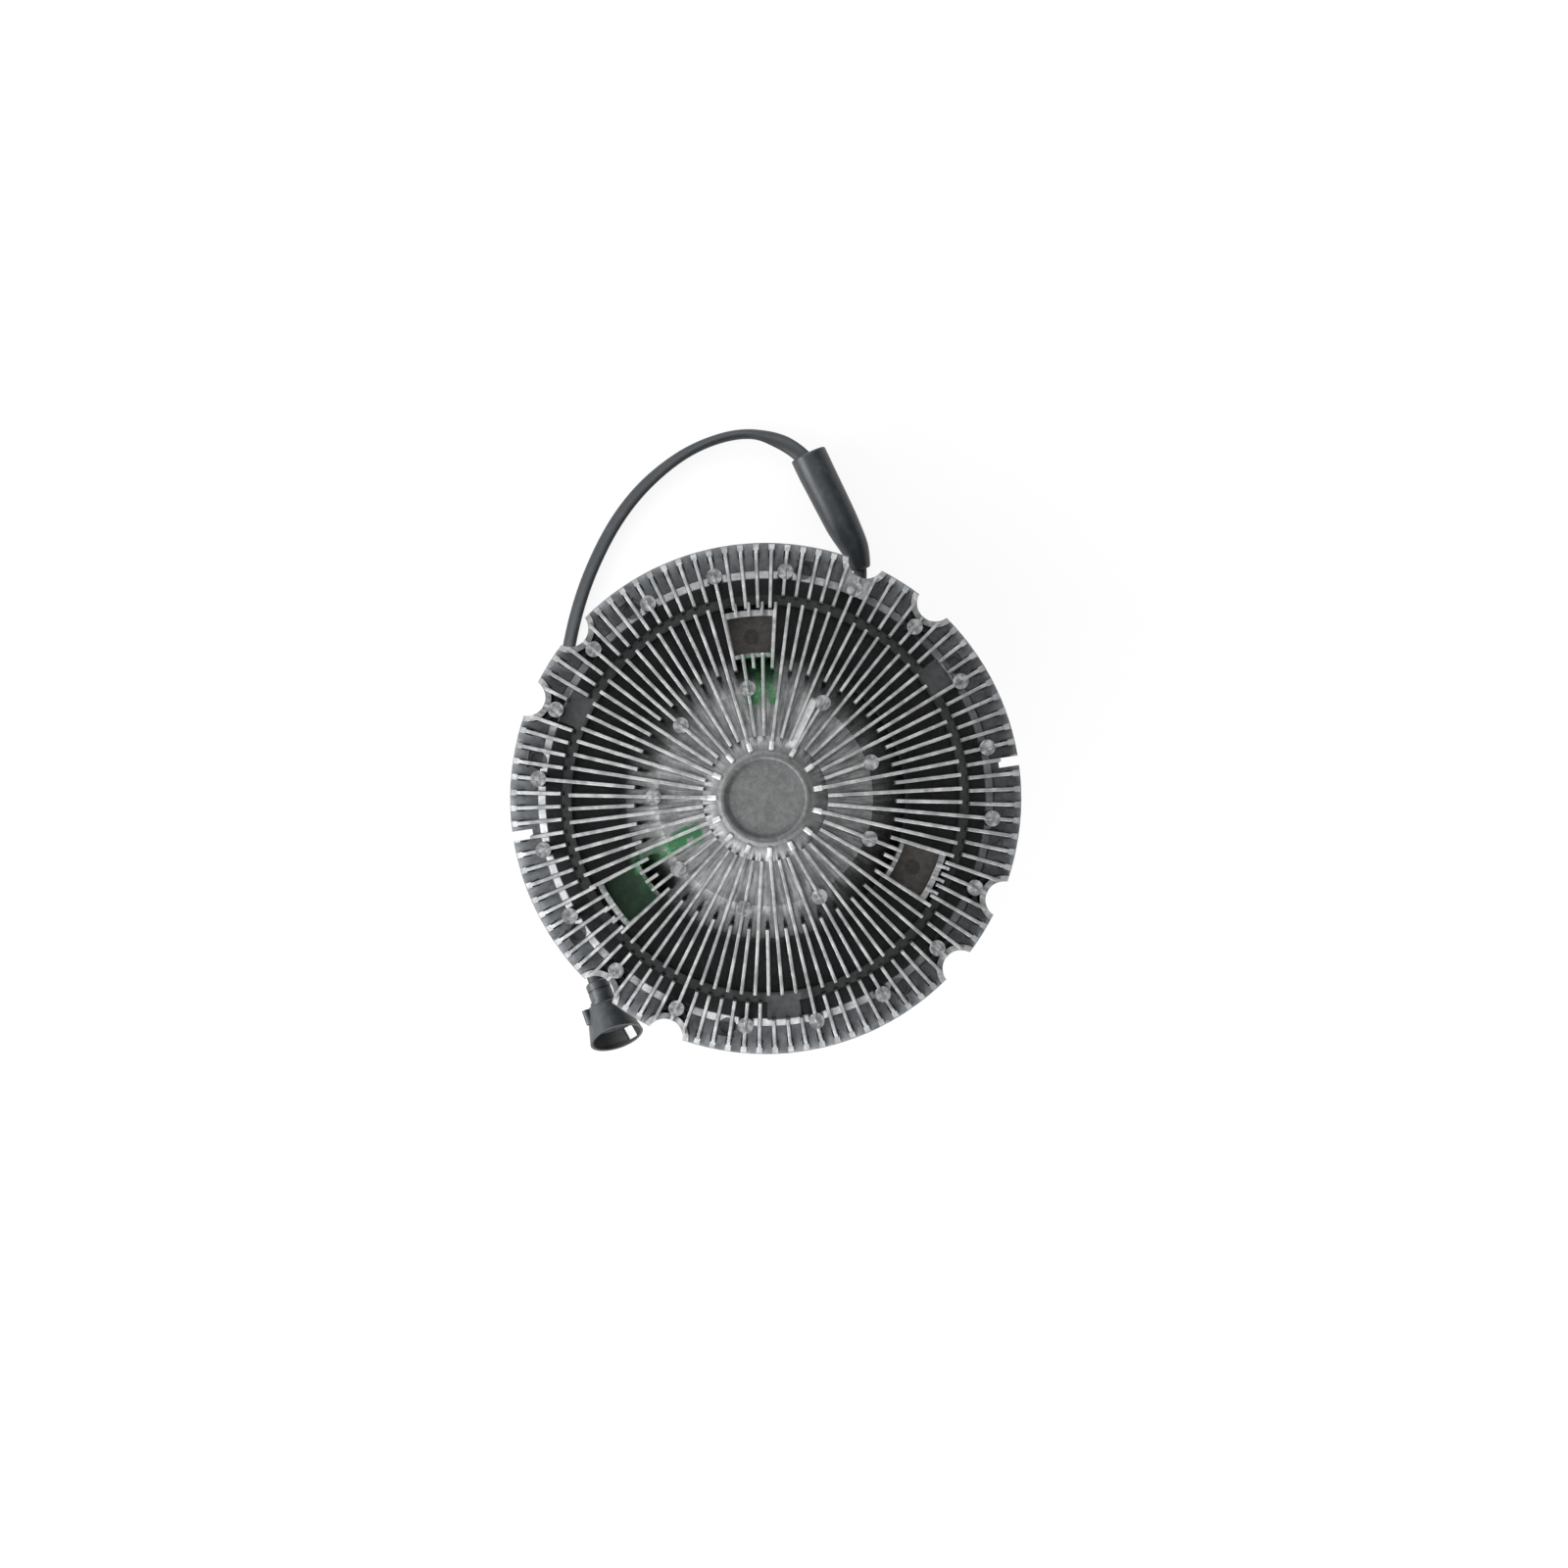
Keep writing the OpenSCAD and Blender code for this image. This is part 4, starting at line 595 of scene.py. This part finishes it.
# other metals: a base tone, a second tone in blotches, grain, and turning lines where a lathe left them
metalLooks = {
    "castRear": {"tone": grey(0.40, 0.01), "second": grey(0.34, 0.02),
                 "rough": 0.5, "grain": 0.5, "turned": 0.0},
    "rotorAlloy": {"tone": grey(0.62, 0.0), "second": grey(0.5, 0.0),
                   "rough": 0.35, "grain": 0.15, "turned": 0.6},
    "shaftSteel": {"tone": grey(0.44, 0.015), "second": grey(0.39, 0.02),
                   "rough": 0.32, "grain": 0.2, "turned": 0.8},
    "bearingSteel": {"tone": grey(0.66, 0.01), "second": grey(0.55, 0.02),
                     "rough": 0.16, "grain": 0.06, "turned": 0.3},
    "plainSteel": {"tone": grey(0.42, 0.01), "second": (0.28, 0.25, 0.22, 1),
                   "rough": 0.38, "grain": 0.25, "turned": 0.4},
    "screwSteel": {"tone": (0.30, 0.28, 0.22, 1), "second": grey(0.16, 0.02),
                   "rough": 0.36, "grain": 0.2, "turned": 0.0},
    "springSteel": {"tone": grey(0.5, 0.02), "second": (0.32, 0.30, 0.30, 1),
                    "rough": 0.25, "grain": 0.1, "turned": 0.0},
    "yokeSteel": {"tone": grey(0.055, 0.06), "second": grey(0.12, 0.04),
                  "rough": 0.42, "grain": 0.35, "turned": 0.0, "metal": 0.9},
    "windingCopper": {"tone": (0.62, 0.25, 0.12, 1), "second": (0.4, 0.14, 0.06, 1),
                      "rough": 0.3, "grain": 0.1, "turned": 0.9},
    "contactMetal": {"tone": (0.72, 0.55, 0.26, 1), "second": (0.55, 0.42, 0.22, 1),
                     "rough": 0.24, "grain": 0.08, "turned": 0.0},
    "cageBrass": {"tone": (0.55, 0.42, 0.2, 1), "second": (0.4, 0.3, 0.15, 1),
                  "rough": 0.34, "grain": 0.15, "turned": 0.0},
}
metalNoise = {"fine": (1100, 5), "broad": (95, 4), "lines": 2600, "blotch": (0.42, 0.7)}
metalBump = {"strength": 0.4, "depth": 0.12 * mm, "lines": 0.5}
metalRough = {"fine": 0.25, "blotch": 0.12, "least": 0.08}


def metalFinish(name):
    look = metalLooks[name]
    finish, sheet = newFinish(name)
    at = place(sheet)
    x, y, z = split(at)
    r = (x * x + y * y).root()
    fine = noise(at, *metalNoise["fine"])
    blotch = noise(at, *metalNoise["broad"]).rise(*metalNoise["blotch"])
    across = {"X": r * metalNoise["lines"], "Y": z * metalNoise["lines"]}
    lines = noise(r.add("CombineXYZ", {}, across), 1.0, 2)
    colour = (blotch * 0.8 + (fine - 0.5) * 0.4).tint(look["tone"], look["second"])
    rough = look["rough"] + (fine - 0.5) * metalRough["fine"] + blotch * metalRough["blotch"]
    height = fine * look["grain"] + lines * (metalBump["lines"] * look["turned"])
    shader = sheet.add("BsdfPrincipled", {}, {
        "Base Color": colour, "Metallic": look.get("metal", 1.0),
        "Roughness": rough.atLeast(metalRough["least"]),
        "Normal": bumped(height, metalBump["strength"], metalBump["depth"])})
    closeFinish(sheet, shader)
    return finish


# plastics and rubbers: a moulded grain of its own size, dusty patches and duller high spots
softLooks = {
    "blackPlastic": {"tone": grey(0.035, 0.12), "dust": grey(0.085, 0.09),
                     "rough": 0.42, "grain": 0.30, "size": 1800},
    "plugPlasticMouthShade": {"tone": grey(0.035, 0.12), "dust": grey(0.085, 0.09),
                    "rough": 0.42, "grain": 0.30, "size": 1800},
    "pottingResin": {"tone": grey(0.020, 0.05), "dust": grey(0.05, 0.0),
                     "rough": 0.22, "grain": 0.12, "size": 500},
    "sealRubber": {"tone": grey(0.018, 0.0), "dust": grey(0.05, 0.0),
                   "rough": 0.6, "grain": 0.25, "size": 1500},
    "cableSheath": {"tone": grey(0.019, 0.20), "dust": grey(0.040, 0.16),
                    "rough": 0.52, "grain": 0.22, "size": 2400},
    "shrinkTube": {"tone": grey(0.026, 0.20), "dust": grey(0.060, 0.14),
                   "rough": 0.40, "grain": 0.18, "size": 1300},
}
softNoise = {"scuff": (160, 6, 0.7), "pull": (1, 1, 2.5), "dusty": (0.48, 0.78)}
softRough = {"dust": 0.2, "fine": 0.2, "least": 0.1}
softBumpDepth = 0.15 * mm
# painted shade inside the connector's mouth, in millimetres along its axis from the cable end
plugMouthShade = {"throatAt": 19, "throatSoft": 0.5, "throat": 11.5, "wall": (0.8, 1.4), "tone": grey(0.009, 0.10),
             "duller": 0.25}


# 1 on the inside of the connector's mouth past its throat, where the painted shade goes
def shadedMouthInside(at):
    look = plugMouthShade
    x, y, z = (axis - base for axis, base in zip(inMillimetres(at), plugBase))
    along = x * plugAim.x + y * plugAim.y + z * plugAim.z
    apart = (x * x + y * y + z * z - along * along).root()
    slope = (plug["mouth"] - look["throat"]) / (plug["rimAt"] - look["throatAt"])
    cone = look["throat"] + (along - look["throatAt"]) * slope
    sunk = cone.atMost(plug["mouth"]) - apart
    pastThroat = along.rise(look["throatAt"] - look["throatSoft"], look["throatAt"] + look["throatSoft"])
    return sunk.rise(*look["wall"]) * pastThroat


def softFinish(name):
    look = softLooks[name]
    finish, sheet = newFinish(name)
    at = place(sheet)
    fine = noise(at, look["size"], 3)
    scuff = noise(stretched(at, softNoise["pull"]), *softNoise["scuff"])
    dusty = scuff.rise(*softNoise["dusty"])
    colour = dusty.tint(look["tone"], look["dust"])
    rough = look["rough"] + dusty * softRough["dust"] + (fine - 0.5) * softRough["fine"]
    if name == "plugPlasticMouthShade":
        # painted shade inside the connector's mouth, which is also duller
        inside = shadedMouthInside(at)
        colour = inside.tint(colour, plugMouthShade["tone"])
        rough = rough + inside * plugMouthShade["duller"]
    shader = sheet.add("BsdfPrincipled", {}, {
        "Base Color": colour, "Roughness": rough.atLeast(softRough["least"]),
        "Normal": bumped(fine * 0.7 + scuff * 0.3, look["grain"], softBumpDepth)})
    closeFinish(sheet, shader)
    return finish


finishes = {"castFront": frontFinish()}
finishes.update({name: metalFinish(name) for name in metalLooks})
finishes.update({name: softFinish(name) for name in softLooks})
slotFinish = {
    "cast_front": "castFront", "cast_rear": "castRear", "rotor_alloy": "rotorAlloy",
    "shaft_steel": "shaftSteel", "bearing_steel": "bearingSteel", "plain_steel": "plainSteel",
    "screw_steel": "screwSteel", "spring_steel": "springSteel", "yoke_steel": "yokeSteel",
    "copper": "windingCopper", "contact_metal": "contactMetal", "cage_brass": "cageBrass",
    "black_plastic": "blackPlastic", "potting": "pottingResin", "seal_rubber": "sealRubber",
    "cable_rubber": "cableSheath",
}


def dress(piece, finish):
    piece.data.materials.clear()
    piece.data.materials.append(finishes[finish])


for part in frame["record"]["subparts"]:
    dress(nodes[part["node"]], slotFinish[part["material_slot"]])
dress(cableLead, "cableSheath")
dress(cableLoop, "cableSheath")
dress(cableSleeve, "shrinkTube")
dress(valveSpring, "springSteel")
dress(nodes["coupling_ring"], "plugPlasticMouthShade")
print("finishes made:", len(finishes))
